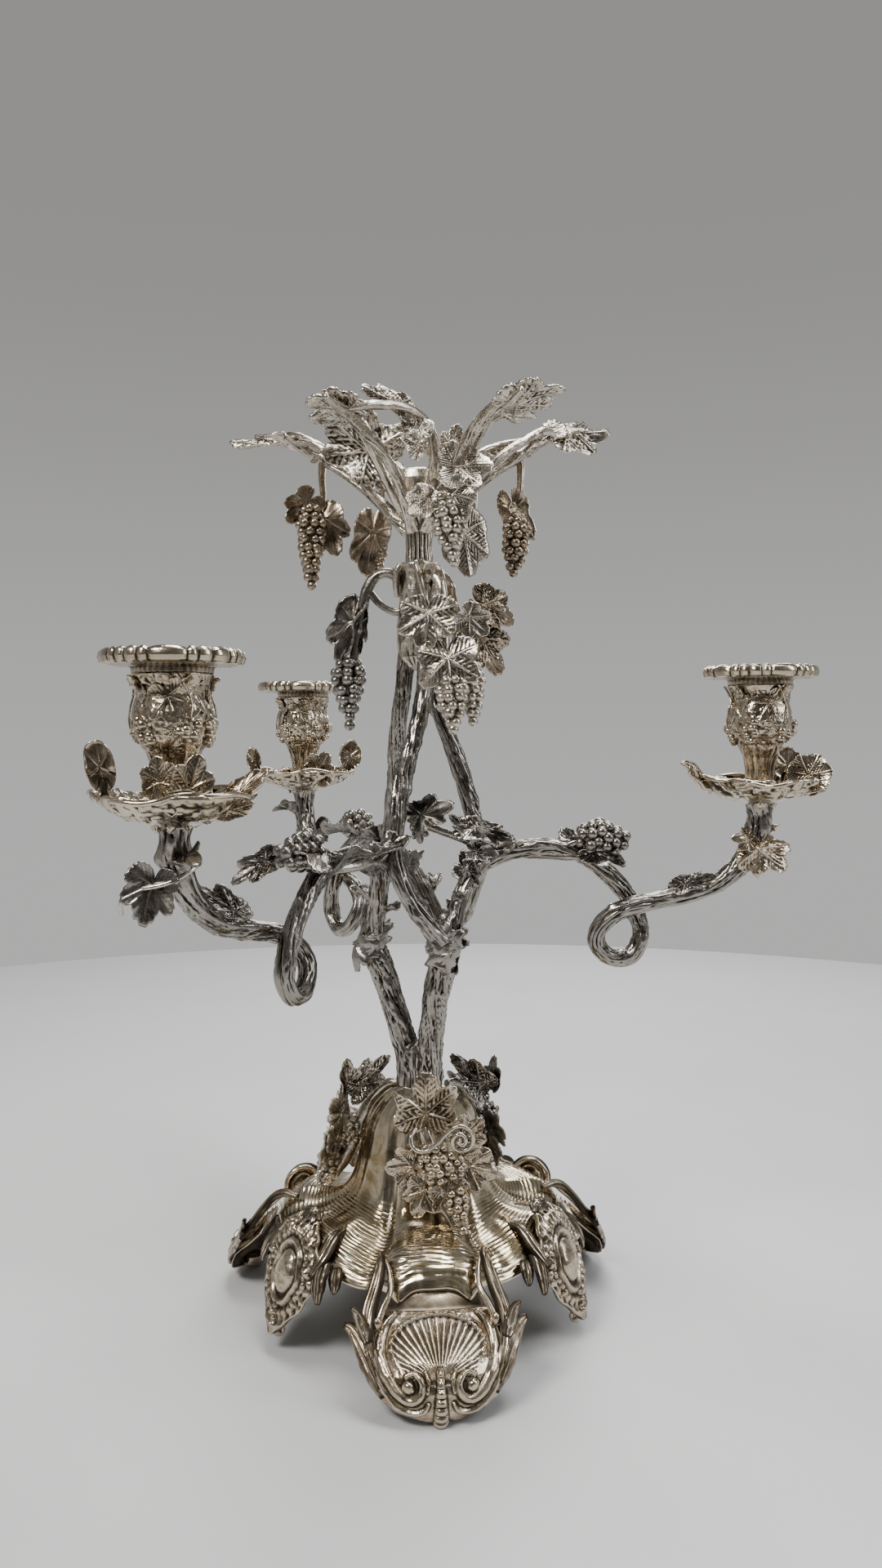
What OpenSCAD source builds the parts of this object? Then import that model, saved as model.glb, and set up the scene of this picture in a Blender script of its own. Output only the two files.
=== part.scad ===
// Grapevine candelabrum: three branching arms with candle sockets on a domed,
// shell-footed base, and a lift-off bowl frame of vine branches at the top.
// Millimetres. +Z up, origin on the stem axis at the floor, front foot along -Y.

/* [Base] */
// Radius from the stem axis to the tip of each shell foot
foot_r = 122; // [118:1:126]
// Height of the top of the dome
dome_h = 121.6; // [120:0.2:123]
// Wall thickness of the base casting
base_wall = 2.6; // [2:0.1:3.5]

/* [Stem] */
// Radius of each vine where it leaves the root
leg_r = 6.7; // [6:0.1:6.8]
// Radius of each vine above its leaf joint
vine_r = 4.8; // [4:0.1:5]
// Height of the seam between the stem collar and the bowl frame
seam_z = 414; // [412:0.5:416]
// Radius of the plain bore in the stem collar
collar_bore_r = 6; // [5:0.1:6.5]

/* [Arms] */
// Distance of each candle axis from the stem axis
arm_reach = 186; // [184:1:188]
// Radius of an arm strand
strand_r = 4.9; // [4.2:0.1:5]
// Direction of the right arm, from +X
arm_az = -8; // [-9:0.5:-7]

/* [Candle fittings] */
// Radius of the bore that holds the candle
candle_r = 11.2; // [10.8:0.1:11.3]
// Radius of the bore in the candle socket
socket_bore_r = 12.5; // [12.5:0.1:12.8]
// Outer radius of the drip pan
pan_r = 30.5; // [29:0.5:32]
// Height of the top edge of the candle socket
socket_top = 346; // [345:0.5:347]

/* [Bowl frame] */
// Radius of the ends of the branches
branch_tip_r = 96; // [92:1:98]
// Radius of a branch
branch_r = 4; // [3:0.1:4.2]

/* [Hidden] */

silver = "silver";
gunmetal = "dimgray";
gilt = "darkkhaki";

// directions of the repeated parts, in degrees from +X
A_RIGHT = arm_az;
A_BACK = arm_az + 120;
A_FRONT = arm_az + 240;
LEG = [176, -64, 56];
BRANCH = [156, 108, 52, 14, -66, -116];

// ---- helpers ---------------------------------------------------------------
function pol(r, a, z) = [r * cos(a), r * sin(a), z];
function unit(v) = v / norm(v);
function xyz(p) = [p[0], p[1], p[2]];
function cr(a, b, c, d, t) = 0.5 * (2 * b + (c - a) * t + (2 * a - 5 * b + 4 * c - d) * t * t + (3 * b - a - 3 * c + d) * t * t * t);
// curve through points [x, y, z, radius], k steps in each span
function smooth(P, k) = let (n = len(P) - 1) [
  for (i = [0 : n - 1]) for (j = [0 : k - 1]) cr(P[max(i - 1, 0)], P[i], P[i + 1], P[min(i + 2, n)], j / k),
  P[n]];
function tangent(P, i) = unit(xyz(P[min(i + 1, len(P) - 1)]) - xyz(P[max(i - 1, 0)]));
function sides(T, i, u) = i >= len(T) ? [] : let (e = unit(u - (u * T[i]) * T[i])) concat([e], sides(T, i + 1, e));
function start_side(t) = abs(t[2]) < 0.8 ? [0, 0, 1] : [1, 0, 0];

// round bar swept along a route, closed at both ends
module bar(route, k = 2, n = 8) {
  P = smooth(route, k);
  m = len(P);
  T = [for (i = [0 : m - 1]) tangent(P, i)];
  U = sides(T, 0, start_side(T[0]));
  pts = [for (i = [0 : m - 1]) let (v = cross(T[i], U[i])) for (j = [0 : n - 1])
    xyz(P[i]) + P[i][3] * (cos(360 * j / n) * U[i] + sin(360 * j / n) * v)];
  faces = concat(
    [[for (j = [0 : n - 1]) j]],
    [[for (j = [n - 1 : -1 : 0]) (m - 1) * n + j]],
    [for (i = [0 : m - 2]) for (j = [0 : n - 1]) [i * n + j, (i + 1) * n + j, i * n + (j + 1) % n]],
    [for (i = [0 : m - 2]) for (j = [0 : n - 1]) [(i + 1) * n + j, (i + 1) * n + (j + 1) % n, i * n + (j + 1) % n]]);
  polyhedron(points = pts, faces = faces, convexity = 6);
}

// flat five-lobed leaf, stalk end at the origin, tip along +Y, face towards +Z
module leaf(l, w, t = 1.6) {
  linear_extrude(height = t, center = true)
    polygon([[0, 0], [w * 0.30, -l * 0.10], [w * 0.50, l * 0.18], [w * 0.36, l * 0.38], [w * 0.44, l * 0.66],
             [w * 0.18, l * 0.70], [0, l], [-w * 0.18, l * 0.70], [-w * 0.44, l * 0.66],
             [-w * 0.36, l * 0.38], [-w * 0.50, l * 0.18], [-w * 0.30, -l * 0.10]]);
}

// puts children at p with their +Y along d and their +Z as near n as it can be
module aimed(p, d, n) {
  y = unit(d);
  z = unit(n - (n * y) * y);
  x = cross(y, z);
  multmatrix([[x[0], y[0], z[0], p[0]], [x[1], y[1], z[1], p[1]], [x[2], y[2], z[2], p[2]], [0, 0, 0, 1]]) children();
}

// bunch of grapes as one lumpy cone, stalk at the origin, hanging along -Z
module bunch(h, r) {
  rotate_extrude($fn = 24)
    polygon([[0, 0], [r * 0.7, -h * 0.06], [r, -h * 0.28], [r * 0.86, -h * 0.5], [r * 0.5, -h * 0.8], [r * 0.3, -h], [0, -h]]);
}

// ---- base ------------------------------------------------------------------
SKIRT_R = [4, 11, 17, 24, 29.5, 33, 36, 40, 48, 58, 68, 76, 81];
SKIRT_Z = [0.4, 0, -1.1, -6.6, -15.6, -28.6, -41.6, -52.6, -62, -68.6, -72.6, -75.6, -79.6];
HOOD = [0, 0, 0, 0, 0, 0, 0, 0.5, 4, 8.5, 14, 18, 8];
BROW = [0, 0, 0, 0, 0, 0, 0, 0.5, 4, 8.5, 12, 9, 3];
function hood_w(a) = pow((1 + cos(3 * (a + 90))) / 2, 3);
function brow_w(a) = pow((1 - cos(3 * (a + 90))) / 2, 3);
function skirt(i, a) = [SKIRT_R[i], dome_h + SKIRT_Z[i] + HOOD[i] * hood_w(a) + BROW[i] * brow_w(a)];
function skirt_in(i, a) = let (n = len(SKIRT_R) - 1, d = skirt(min(i + 1, n), a) - skirt(max(i - 1, 0), a), q = [-d[1], d[0]] / norm(d))
  i == 0 ? [SKIRT_R[0], skirt(0, a)[1] - base_wall] : skirt(i, a) - base_wall * q;

module base_body() {
  na = 60;
  m = len(SKIRT_R);
  pts = concat(
    [for (i = [0 : m - 1]) for (j = [0 : na - 1]) let (a = 360 * j / na, s = skirt(i, a)) pol(s[0], a, s[1])],
    [for (i = [0 : m - 1]) for (j = [0 : na - 1]) let (a = 360 * j / na, s = skirt_in(i, a)) pol(s[0], a, s[1])]);
  o = m * na;
  faces = concat(
    [for (i = [0 : m - 2]) for (j = [0 : na - 1]) let (k = (j + 1) % na) [i * na + j, i * na + k, (i + 1) * na + j]],
    [for (i = [0 : m - 2]) for (j = [0 : na - 1]) let (k = (j + 1) % na) [i * na + k, (i + 1) * na + k, (i + 1) * na + j]],
    [for (i = [0 : m - 2]) for (j = [0 : na - 1]) let (k = (j + 1) % na) [o + i * na + j, o + (i + 1) * na + j, o + i * na + k]],
    [for (i = [0 : m - 2]) for (j = [0 : na - 1]) let (k = (j + 1) % na) [o + i * na + k, o + (i + 1) * na + j, o + (i + 1) * na + k]],
    [for (j = [0 : na - 1]) let (k = (j + 1) % na) [j, o + j, k]],
    [for (j = [0 : na - 1]) let (k = (j + 1) % na) [k, o + j, o + k]],
    [for (j = [0 : na - 1]) let (k = (j + 1) % na, e = (m - 1) * na) [e + j, e + k, o + e + j]],
    [for (j = [0 : na - 1]) let (k = (j + 1) % na, e = (m - 1) * na) [e + k, o + e + k, o + e + j]]);
  color(gilt) polyhedron(points = pts, faces = faces, convexity = 8);
}

// curved plate: rows of [radius, height, half width, crown], thickness t behind its face
module plate(rows, t, nu = 6) {
  m = len(rows);
  function row_n(i) = let (a = rows[max(i - 1, 0)], b = rows[min(i + 1, m - 1)], d = [b[0] - a[0], b[1] - a[1]]) [-d[1], d[0]] / norm(d);
  function face_pt(i, j, s) = let (u = -1 + 2 * j / nu, q = row_n(i), c = rows[i], h = c[3] * (1 - u * u) - c[3] - s)
    [c[0] + q[0] * h, c[2] * u, max(c[1] + q[1] * h, 0)];
  w = nu + 1;
  pts = concat(
    [for (i = [0 : m - 1]) for (j = [0 : nu]) face_pt(i, j, 0)],
    [for (i = [0 : m - 1]) for (j = [0 : nu]) face_pt(i, j, t)]);
  o = m * w;
  faces = concat(
    [for (i = [0 : m - 2]) for (j = [0 : nu - 1]) [i * w + j, i * w + j + 1, (i + 1) * w + j]],
    [for (i = [0 : m - 2]) for (j = [0 : nu - 1]) [i * w + j + 1, (i + 1) * w + j + 1, (i + 1) * w + j]],
    [for (i = [0 : m - 2]) for (j = [0 : nu - 1]) [o + i * w + j, o + (i + 1) * w + j, o + i * w + j + 1]],
    [for (i = [0 : m - 2]) for (j = [0 : nu - 1]) [o + i * w + j + 1, o + (i + 1) * w + j, o + (i + 1) * w + j + 1]],
    [for (j = [0 : nu - 1]) [j, o + j, j + 1]],
    [for (j = [0 : nu - 1]) [j + 1, o + j, o + j + 1]],
    [for (j = [0 : nu - 1]) let (e = (m - 1) * w) [e + j, e + j + 1, o + e + j]],
    [for (j = [0 : nu - 1]) let (e = (m - 1) * w) [e + j + 1, o + e + j + 1, o + e + j]],
    [for (i = [0 : m - 2]) [i * w, (i + 1) * w, o + i * w]],
    [for (i = [0 : m - 2]) [(i + 1) * w, o + (i + 1) * w, o + i * w]],
    [for (i = [0 : m - 2]) [i * w + nu, o + i * w + nu, (i + 1) * w + nu]],
    [for (i = [0 : m - 2]) [(i + 1) * w + nu, o + i * w + nu, o + (i + 1) * w + nu]]);
  polyhedron(points = pts, faces = faces, convexity = 6);
}

module shell_foot(a) {
  s = foot_r - 122;
  color(silver) rotate([0, 0, a]) {
    plate([[78, 53, 18, 0], [84, 45, 24, 0], [91, 43, 31, 0], [97, 46, 34, 1], [103 + s, 37, 35, 4],
           [109 + s, 25, 32, 5], [115 + s, 12, 24, 4], [119 + s, 4, 14, 2], [121 + s, 1, 8, 0]], 4);
    for (q = [-1, 1]) bar([[101, 33 * q, 33, 3], [97, 37 * q, 43, 4], [85, 33 * q, 53, 4], [72, 26 * q, 54, 3.5]], 2, 6);
    translate([foot_r - 8, 0, 0]) cylinder(h = 6, r = 6, $fn = 32);
  }
}
module shell_foot_front() { shell_foot(-90); }
module shell_foot_right() { shell_foot(30); }
module shell_foot_left() { shell_foot(150); }

module scroll_mount(a) {
  color(silver) rotate([0, 0, a]) {
    plate([[64, 62, 9, 0], [71, 63, 14, 1], [77, 55, 21, 3], [81, 42, 24, 4], [85, 29, 22, 4], [88, 18, 14, 3], [90, 11, 5, 1]], 4.5);
  }
}
module scroll_mount_right() { scroll_mount(-30); }
module scroll_mount_back() { scroll_mount(90); }
module scroll_mount_left() { scroll_mount(210); }

module dome_spray(a) {
  color(silver) rotate([0, 0, a]) {
    bar([[19, -2, 121, 2.6], [26, -2, 119, 3], [32, -1, 112, 4], [36, 1, 103, 5], [39, 3, 94, 6.5], [42, 5, 85, 7.5], [45, 6, 76, 7.5], [49, 7, 70, 5], [52, 8, 66, 3]], 2, 8);
    aimed([34, 0, 110], [0.3, -0.1, 1], [1, 0, 0.3]) leaf(28, 26, 2);
    aimed([44, 10, 88], [0, -1, 0.1], [1, 0, 0.2]) leaf(28, 24, 3);
  }
}
module dome_spray_front() { dome_spray(-90); }
module dome_spray_right() { dome_spray(30); }
module dome_spray_left() { dome_spray(150); }

// bent wires: one on the front dome spray, one on the end leaf of the front left arm
module wire_tendrils() {
  color(gilt) {
    bar([[-6, -46, 114, 1.1], [-9, -49, 111, 1.1], [-8, -51, 105, 1.1], [-4, -52, 102, 1.1], [2, -53, 105, 1.1], [8, -53, 111, 1.1],
         [14, -53, 116, 1.1], [20, -52, 114, 1.1], [22, -52, 109, 1.1], [20, -52, 104, 1.1], [15, -52, 103, 1.1], [13, -52, 107, 1.1], [16, -51, 110, 1.1]], 2, 6);
    bar([[-105, -145, 265, 1.2], [-112, -151, 260, 1.2], [-122, -151, 256, 1.2], [-132, -148, 255, 1.2], [-137, -145, 251, 1.2], [-138, -142, 244, 1.2]], 2, 6);
  }
}

module tie_rod() { color("gray") translate([0, 0, 96]) cylinder(h = 42, r = 3, $fn = 32); }
module tie_washer() {
  color("gray") translate([0, 0, dome_h - base_wall - 2]) difference() {
    cylinder(h = 2, r = 10, $fn = 48);
    translate([0, 0, -1]) cylinder(h = 5, r = 3.2, $fn = 32);
  }
}
module tie_nut() {
  color("gray") translate([0, 0, dome_h - base_wall - 7]) difference() {
    cylinder(h = 5, r = 6.4, $fn = 6);
    translate([0, 0, -1]) cylinder(h = 7, r = 3.05, $fn = 32);
  }
}

// ---- stem ------------------------------------------------------------------
module stem_root() {
  color(gunmetal) difference() {
    translate([0, 0, dome_h + 0.4]) rotate_extrude($fn = 48)
      polygon([[0, 0], [13, 0], [12.2, 3], [11.6, 10], [12.4, 17], [13.2, 22], [10, 25], [0, 25]]);
    translate([0, 0, 110]) cylinder(h = 29, r = 3.1, $fn = 32);
  }
}

// one leg and the vine above it, for a leg in direction a
function vine_route(a) = [
  concat(pol(8.2, a, 141), [leg_r]), concat(pol(12.5, a, 159), [leg_r]), concat(pol(18, a, 177), [leg_r]),
  concat(pol(24.5, a + 1, 197), [leg_r]), concat(pol(28, a - 4, 207), [6.2]), concat(pol(30, a - 20, 217), [5.4]),
  concat(pol(31, a - 38, 230), [vine_r]), concat(pol(33, a - 54, 250), [vine_r]), concat(pol(30, a - 56, 272), [vine_r]),
  concat(pol(25, a - 54, 292), [vine_r]), concat(pol(18, a - 43, 315), [vine_r]), concat(pol(11.6, a - 25, 335), [vine_r]),
  concat(pol(8.6, a - 10, 352), [vine_r]), concat(pol(7, a, 368), [vine_r])];
module vine(a) { color(gunmetal) bar(vine_route(a), 2, 8); }
module vine_a() { vine(LEG[0]); }
module vine_b() { vine(LEG[1]); }
module vine_c() { vine(LEG[2]); }

module leaf_joint(a) { color(gunmetal) translate(pol(27.5, a, 205)) sphere(r = 10.4, $fn = 32); }
module leaf_joint_a() { leaf_joint(LEG[0]); }
module leaf_joint_b() { leaf_joint(LEG[1]); }
module leaf_joint_c() { leaf_joint(LEG[2]); }

module stem_collar() {
  color(silver) difference() {
    rotate_extrude($fn = 48)
      polygon([[0, 362], [11, 362], [12, 368], [10.6, 380], [10.6, 396], [11.6, seam_z - 4], [11.2, seam_z], [0, seam_z]]);
    translate([0, 0, 386]) cylinder(h = 40, r = collar_bore_r, $fn = 48);
  }
}

// leaf and grapes that hang from a forked stalk on the collar
module collar_drop(a) {
  color(silver) rotate([0, 0, a]) {
    bar([[9, 0, 405, 3.2], [16, 0, 409, 3.2], [24, 0, 407, 3.2], [29, 0, 399, 3.2], [32, 0, 386, 3], [36, 0, 370, 3], [38, 0, 357, 2.6]], 2, 8);
    bar([[28, 0, 400, 2.2], [22, 0, 392, 2.2], [14, 0, 388, 2.2], [9, 0, 388, 2.2]], 2, 6);
    aimed([34, 0, 394], [0.30, 0.2, -1], [1, 0, 0.45]) leaf(42, 34, 2);
    translate([39, 0, 360]) bunch(32, 9);
  }
}
module collar_drop_front() { collar_drop(-72); }
module collar_drop_right() { collar_drop(48); }
module collar_drop_left() { collar_drop(171); }

// ---- arms ------------------------------------------------------------------
// local route of one arm: x outwards, y across, z up
ARM = [[15, -21, 204, 5.2], [19, -17, 218, 5.2], [24, -11, 234, 5.2], [32, -5, 246, 5.2], [44, 0, 253, 5.2], [60, 0, 257, 5.2],
       [75, 0, 257, 5], [90, 2, 252, 5], [103, 4, 243, 5], [114, 5.6, 231, 4.9], [121, 5.8, 217, 4.9], [122, 5.6, 205, 4.9],
       [115, 4, 196, 4.9], [105, 2, 196, 4.9], [98, -1, 203, 4.9], [98, -4, 212, 4.9], [106, -5.8, 221, 4.9], [118, -5.8, 226, 4.9],
       [132, -4, 229, 4.9], [147, -2, 232, 5], [162, 0, 237, 5.2], [174, 0, 246, 5.6], [182, 0, 257, 6.8], [185, 0, 266, 7.4], [186, 0, 274, 6.2], [186, 0, 281, 7]];
function arm_pt(p) = let (s = strand_r / 4.9, k = (arm_reach - 186) * min(max((p[0] - 40) / 140, 0), 1)) [p[0] + k, p[1], p[2], p[3] * s];
module arm(a) { color(gunmetal) rotate([0, 0, a]) bar([for (p = ARM) arm_pt(p)], 2, 8); }
module arm_right() { arm(A_RIGHT); }
module arm_front_left() { arm(A_FRONT); }
module arm_back_left() { arm(A_BACK); }

module arm_grapes(a) {
  color(silver) rotate([0, 0, a]) {
    aimed([88, -3, 262], [1, 0.05, -0.05], [0, 0, 1]) rotate([90, 0, 0]) bunch(28, 9);
    aimed([84, 2, 261], [1, 0.5, 0.12], [0, 0, 1]) leaf(34, 26, 2);
  }
}
module arm_grapes_right() { arm_grapes(A_RIGHT); }
module arm_grapes_front_left() { arm_grapes(A_FRONT); }
module arm_grapes_back_left() { arm_grapes(A_BACK); }

module arm_leaves(a) {
  color(gunmetal) rotate([0, 0, a]) {
    aimed([184, -5, 262], [0.3, -1, -0.8], [0.2, -1, 0.9]) leaf(26, 26, 2);
    aimed([144, -2, 237.5], [1, 0, 0.3], [-0.3, 0, 1]) leaf(24, 14, 3);
    aimed([46, 0, 258], [-0.3, 0.7, 0.6], [0.2, -0.6, 1]) leaf(22, 16, 2);
  }
}
module arm_leaves_right() { arm_leaves(A_RIGHT); }
module arm_leaves_front_left() { arm_leaves(A_FRONT); }
module arm_leaves_back_left() { arm_leaves(A_BACK); }

// dish of leaves with three turned-up tips in directions t
module saucer(a, t) {
  color(silver) translate(pol(arm_reach, a, 0)) {
    difference() {
      rotate_extrude($fn = 48)
        polygon([[0, 281], [11, 281], [20, 284], [30, 289], [37, 295], [38, 297.5], [35.5, 298], [29, 292.5], [20, 287.5], [11, 285], [0, 285]]);
      translate([0, 0, 270]) cylinder(h = 30, r = 2.6, $fn = 32);
    }
    for (q = t) rotate([0, 0, q]) aimed([32, 0, 293], [0.45, 0, 1], [-1, 0, 0.45]) leaf(24, 19, 2);
  }
}
module saucer_right() { saucer(A_RIGHT, [178, 52, -48]); }
module saucer_front_left() { saucer(A_FRONT, [172, -95, 5]); }
module saucer_back_left() { saucer(A_BACK, [172, 10, -95]); }

module socket_screws() {
  color("gray") for (a = [A_RIGHT, A_FRONT, A_BACK]) translate(pol(arm_reach, a, 0)) {
    translate([0, 0, 268]) cylinder(h = 44, r = 2.5, $fn = 32);
    translate([0, 0, 312]) cylinder(h = 3, r = 4.5, $fn = 32);
  }
}

module socket_cup(a) {
  color(gilt) translate(pol(arm_reach, a, 0)) difference() {
    rotate_extrude($fn = 48)
      polygon([[0, 285], [7, 285], [6.6, 292], [7, 300], [8.6, 307], [12, 314], [17, 321], [18.6, 326], [17.2, 332], [15.6, 337], [16.4, 342], [18.8, socket_top], [0, socket_top]]);
    translate([0, 0, 322]) cylinder(h = 40, r = socket_bore_r, $fn = 48);
    translate([0, 0, 311.9]) cylinder(h = 20, r = 4.6, $fn = 32);
    translate([0, 0, 280]) cylinder(h = 40, r = 2.6, $fn = 32);
  }
}
module socket_right() { socket_cup(A_RIGHT); }
module socket_front_left() { socket_cup(A_FRONT); }
module socket_back_left() { socket_cup(A_BACK); }

module drip_pan(a) {
  g = socket_top + 0.1;
  color(gilt) translate(pol(arm_reach, a, 0)) difference() {
    rotate_extrude($fn = 60)
      polygon([[0, g - 21.5], [socket_bore_r - 0.3, g - 21.5], [socket_bore_r - 0.3, g], [17.3, g], [17.3, g + 2.6], [pan_r - 3.5, g + 4.2],
               [pan_r - 0.6, g + 4.8], [pan_r, g + 7], [pan_r - 0.8, g + 9.6], [pan_r - 3.6, g + 10], [pan_r - 6, g + 7.4], [16, g + 5], [0, g + 4.6]]);
    translate([0, 0, g - 30]) cylinder(h = 60, r = candle_r, $fn = 60);
  }
}
module drip_pan_right() { drip_pan(A_RIGHT); }
module drip_pan_front_left() { drip_pan(A_FRONT); }
module drip_pan_back_left() { drip_pan(A_BACK); }

// ---- bowl frame --------------------------------------------------------------
module basket_hub() {
  g = seam_z + 0.1;
  color(silver) rotate_extrude($fn = 48)
    polygon([[0, g - 24], [collar_bore_r - 0.3, g - 24], [collar_bore_r - 0.3, g], [7.4, g], [6.6, g + 6], [6.8, g + 16], [9.5, g + 23], [12, g + 28], [12, g + 31], [0, g + 31]]);
}
module basket_cup() {
  color(silver) difference() {
    rotate_extrude($fn = 48)
      polygon([[0, seam_z + 31.1], [11, seam_z + 31.1], [13.5, seam_z + 38], [13.8, seam_z + 45], [12.5, seam_z + 50], [0, seam_z + 50]]);
    translate([0, 0, seam_z + 36]) cylinder(h = 30, r = 9, $fn = 48);
  }
}

// branch with its flat leaf at the tip
module branch(a, lift) {
  r = branch_r;
  t = branch_tip_r;
  color(silver) rotate([0, 0, a]) {
    bar([[6, 0, 432, r], [14, 0, 440, r], [26, 0, 452, r], [42, 0, 465, r], [60, 0, 477 + lift * 0.3, r],
         [78, 0, 487 + lift * 0.7, r * 0.9], [t, 0, 493 + lift, r * 0.75]], 2, 8);
    aimed([t - 14, 0, 492 + lift], [1, 0, 0.10], [-0.1, 0, 1]) leaf(38, 34, 2.4);
  }
}
module branch_1() { branch(BRANCH[0], 0); }
module branch_2() { branch(BRANCH[1], 0); }
module branch_3() { branch(BRANCH[2], 0); }
module branch_4() { branch(BRANCH[3], 4); }
module branch_5() { branch(BRANCH[4], 0); }
module branch_6() { branch(BRANCH[5], -3); }

// thinner vines that tie pairs of branches together
function link_route(m) = [
  concat(pol(10, m + 24, 446), [3]), concat(pol(24, m + 20, 459), [3]), concat(pol(40, m + 14, 470), [3]), concat(pol(58, m + 8, 480), [3]),
  concat(pol(74, m - 2, 487), [2.8]), concat(pol(88, m - 14, 491), [2.6]), concat(pol(95, m - 24, 492), [2.4])];
module basket_links() {
  color(silver) for (m = [-92, 28, 132]) bar(link_route(m), 2, 8);
}

module hub_spray() {
  color(silver) rotate([0, 0, -70]) {
    bar([[9, 0, 444, 3], [18, 0, 453, 3], [26, 0, 456, 3], [32, 0, 452, 3], [34, 0, 442, 2.6]], 2, 8);
    aimed([29, 14, 460], [0.1, -1, 0.1], [1, 0, 0.5]) leaf(30, 32, 2.4);
    translate([34, 0, 447]) bunch(33, 10);
  }
}

// leaf and grapes on a short stalk under a branch
module hanging_cluster(a, r, z) {
  color(silver) rotate([0, 0, a]) {
    bar([[r, 0, z + 3, 2.6], [r, 0, z - 5, 2.4], [r + 1, 0, z - 14, 2.4], [r, 0, z - 26, 2.2]], 2, 8);
    aimed([r + 3, 0, z - 10], [0.12, 0.15, -1], [1, 0, 0.2]) leaf(34, 30, 2);
    translate([r, 0, z - 22]) bunch(42, 8.5);
  }
}
module hanging_cluster_1() { hanging_cluster(BRANCH[0], 58, 474); }
module hanging_cluster_2() { hanging_cluster(BRANCH[1], 58, 474); }
module hanging_cluster_3() { hanging_cluster(BRANCH[2], 58, 474); }
module hanging_cluster_4() { hanging_cluster(BRANCH[3], 60, 476); }

base_body();
shell_foot_front();
shell_foot_right();
shell_foot_left();
scroll_mount_right();
scroll_mount_back();
scroll_mount_left();
dome_spray_front();
dome_spray_right();
dome_spray_left();
wire_tendrils();
tie_rod();
tie_washer();
tie_nut();
stem_root();
vine_a();
vine_b();
vine_c();
leaf_joint_a();
leaf_joint_b();
leaf_joint_c();
stem_collar();
collar_drop_front();
collar_drop_right();
collar_drop_left();
arm_right();
arm_front_left();
arm_back_left();
arm_grapes_right();
arm_grapes_front_left();
arm_grapes_back_left();
arm_leaves_right();
arm_leaves_front_left();
arm_leaves_back_left();
saucer_right();
saucer_front_left();
saucer_back_left();
socket_screws();
socket_right();
socket_front_left();
socket_back_left();
drip_pan_right();
drip_pan_front_left();
drip_pan_back_left();
basket_hub();
basket_cup();
branch_1();
branch_2();
branch_3();
branch_4();
branch_5();
branch_6();
basket_links();
hub_spray();
hanging_cluster_1();
hanging_cluster_2();
hanging_cluster_3();
hanging_cluster_4();
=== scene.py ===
import bpy, math
import numpy as np
from mathutils import Vector, Matrix


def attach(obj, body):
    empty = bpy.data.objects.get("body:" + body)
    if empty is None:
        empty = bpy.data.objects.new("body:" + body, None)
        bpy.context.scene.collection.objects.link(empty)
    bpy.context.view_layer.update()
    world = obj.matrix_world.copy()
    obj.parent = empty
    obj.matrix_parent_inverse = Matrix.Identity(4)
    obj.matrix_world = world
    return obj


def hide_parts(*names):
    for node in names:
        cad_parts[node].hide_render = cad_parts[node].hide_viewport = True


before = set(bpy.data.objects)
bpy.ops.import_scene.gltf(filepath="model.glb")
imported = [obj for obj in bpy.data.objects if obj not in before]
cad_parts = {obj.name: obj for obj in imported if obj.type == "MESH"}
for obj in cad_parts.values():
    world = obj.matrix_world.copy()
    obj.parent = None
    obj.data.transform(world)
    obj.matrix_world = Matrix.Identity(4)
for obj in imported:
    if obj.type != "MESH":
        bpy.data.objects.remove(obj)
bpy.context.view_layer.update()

TAU = 2 * math.pi

# ---------------------------------------------------------------- small maths
def unit(v):
    v = np.asarray(v, float)
    return v / max(np.linalg.norm(v), 1e-9)

def pol(r, a, z):
    a = math.radians(a)
    return (r * math.cos(a), r * math.sin(a), z)

def vnoise(p, seed=0):
    p = np.asarray(p, float)
    i = np.floor(p).astype(np.int64)
    f = p - i
    u = f * f * (3 - 2 * f)
    def h(dx, dy, dz):
        n = (i[..., 0] + dx) * 73856093 ^ (i[..., 1] + dy) * 19349663 ^ (i[..., 2] + dz) * 83492791 ^ (seed * 7919 + 1013)
        n = (n ^ (n >> 13)) & 0x7fffffff
        n = (n * 1274126177) & 0x7fffffff
        n = (n ^ (n >> 15)) & 0x7fffffff
        n = (n * 747796405) & 0x7fffffff
        return ((n >> 8) & 0xffff) / 32767.5 - 1.0
    ux, uy, uz = u[..., 0], u[..., 1], u[..., 2]
    a = h(0, 0, 0) * (1 - ux) + h(1, 0, 0) * ux
    b = h(0, 1, 0) * (1 - ux) + h(1, 1, 0) * ux
    c = h(0, 0, 1) * (1 - ux) + h(1, 0, 1) * ux
    d = h(0, 1, 1) * (1 - ux) + h(1, 1, 1) * ux
    return (a * (1 - uy) + b * uy) * (1 - uz) + (c * (1 - uy) + d * uy) * uz

def fbm(p, seed=0, octaves=3):
    p = np.asarray(p, float)
    out, amp = 0.0, 1.0
    for k in range(octaves):
        out = out + amp * vnoise(p * (2.03 ** k) + 17.3 * k, seed + 31 * k)
        amp *= 0.5
    return out / (2 - 0.5 ** (octaves - 1))

def sstep(a, b, x):
    t = np.clip((np.asarray(x, float) - a) / (b - a), 0, 1)
    return t * t * (3 - 2 * t)

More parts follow.
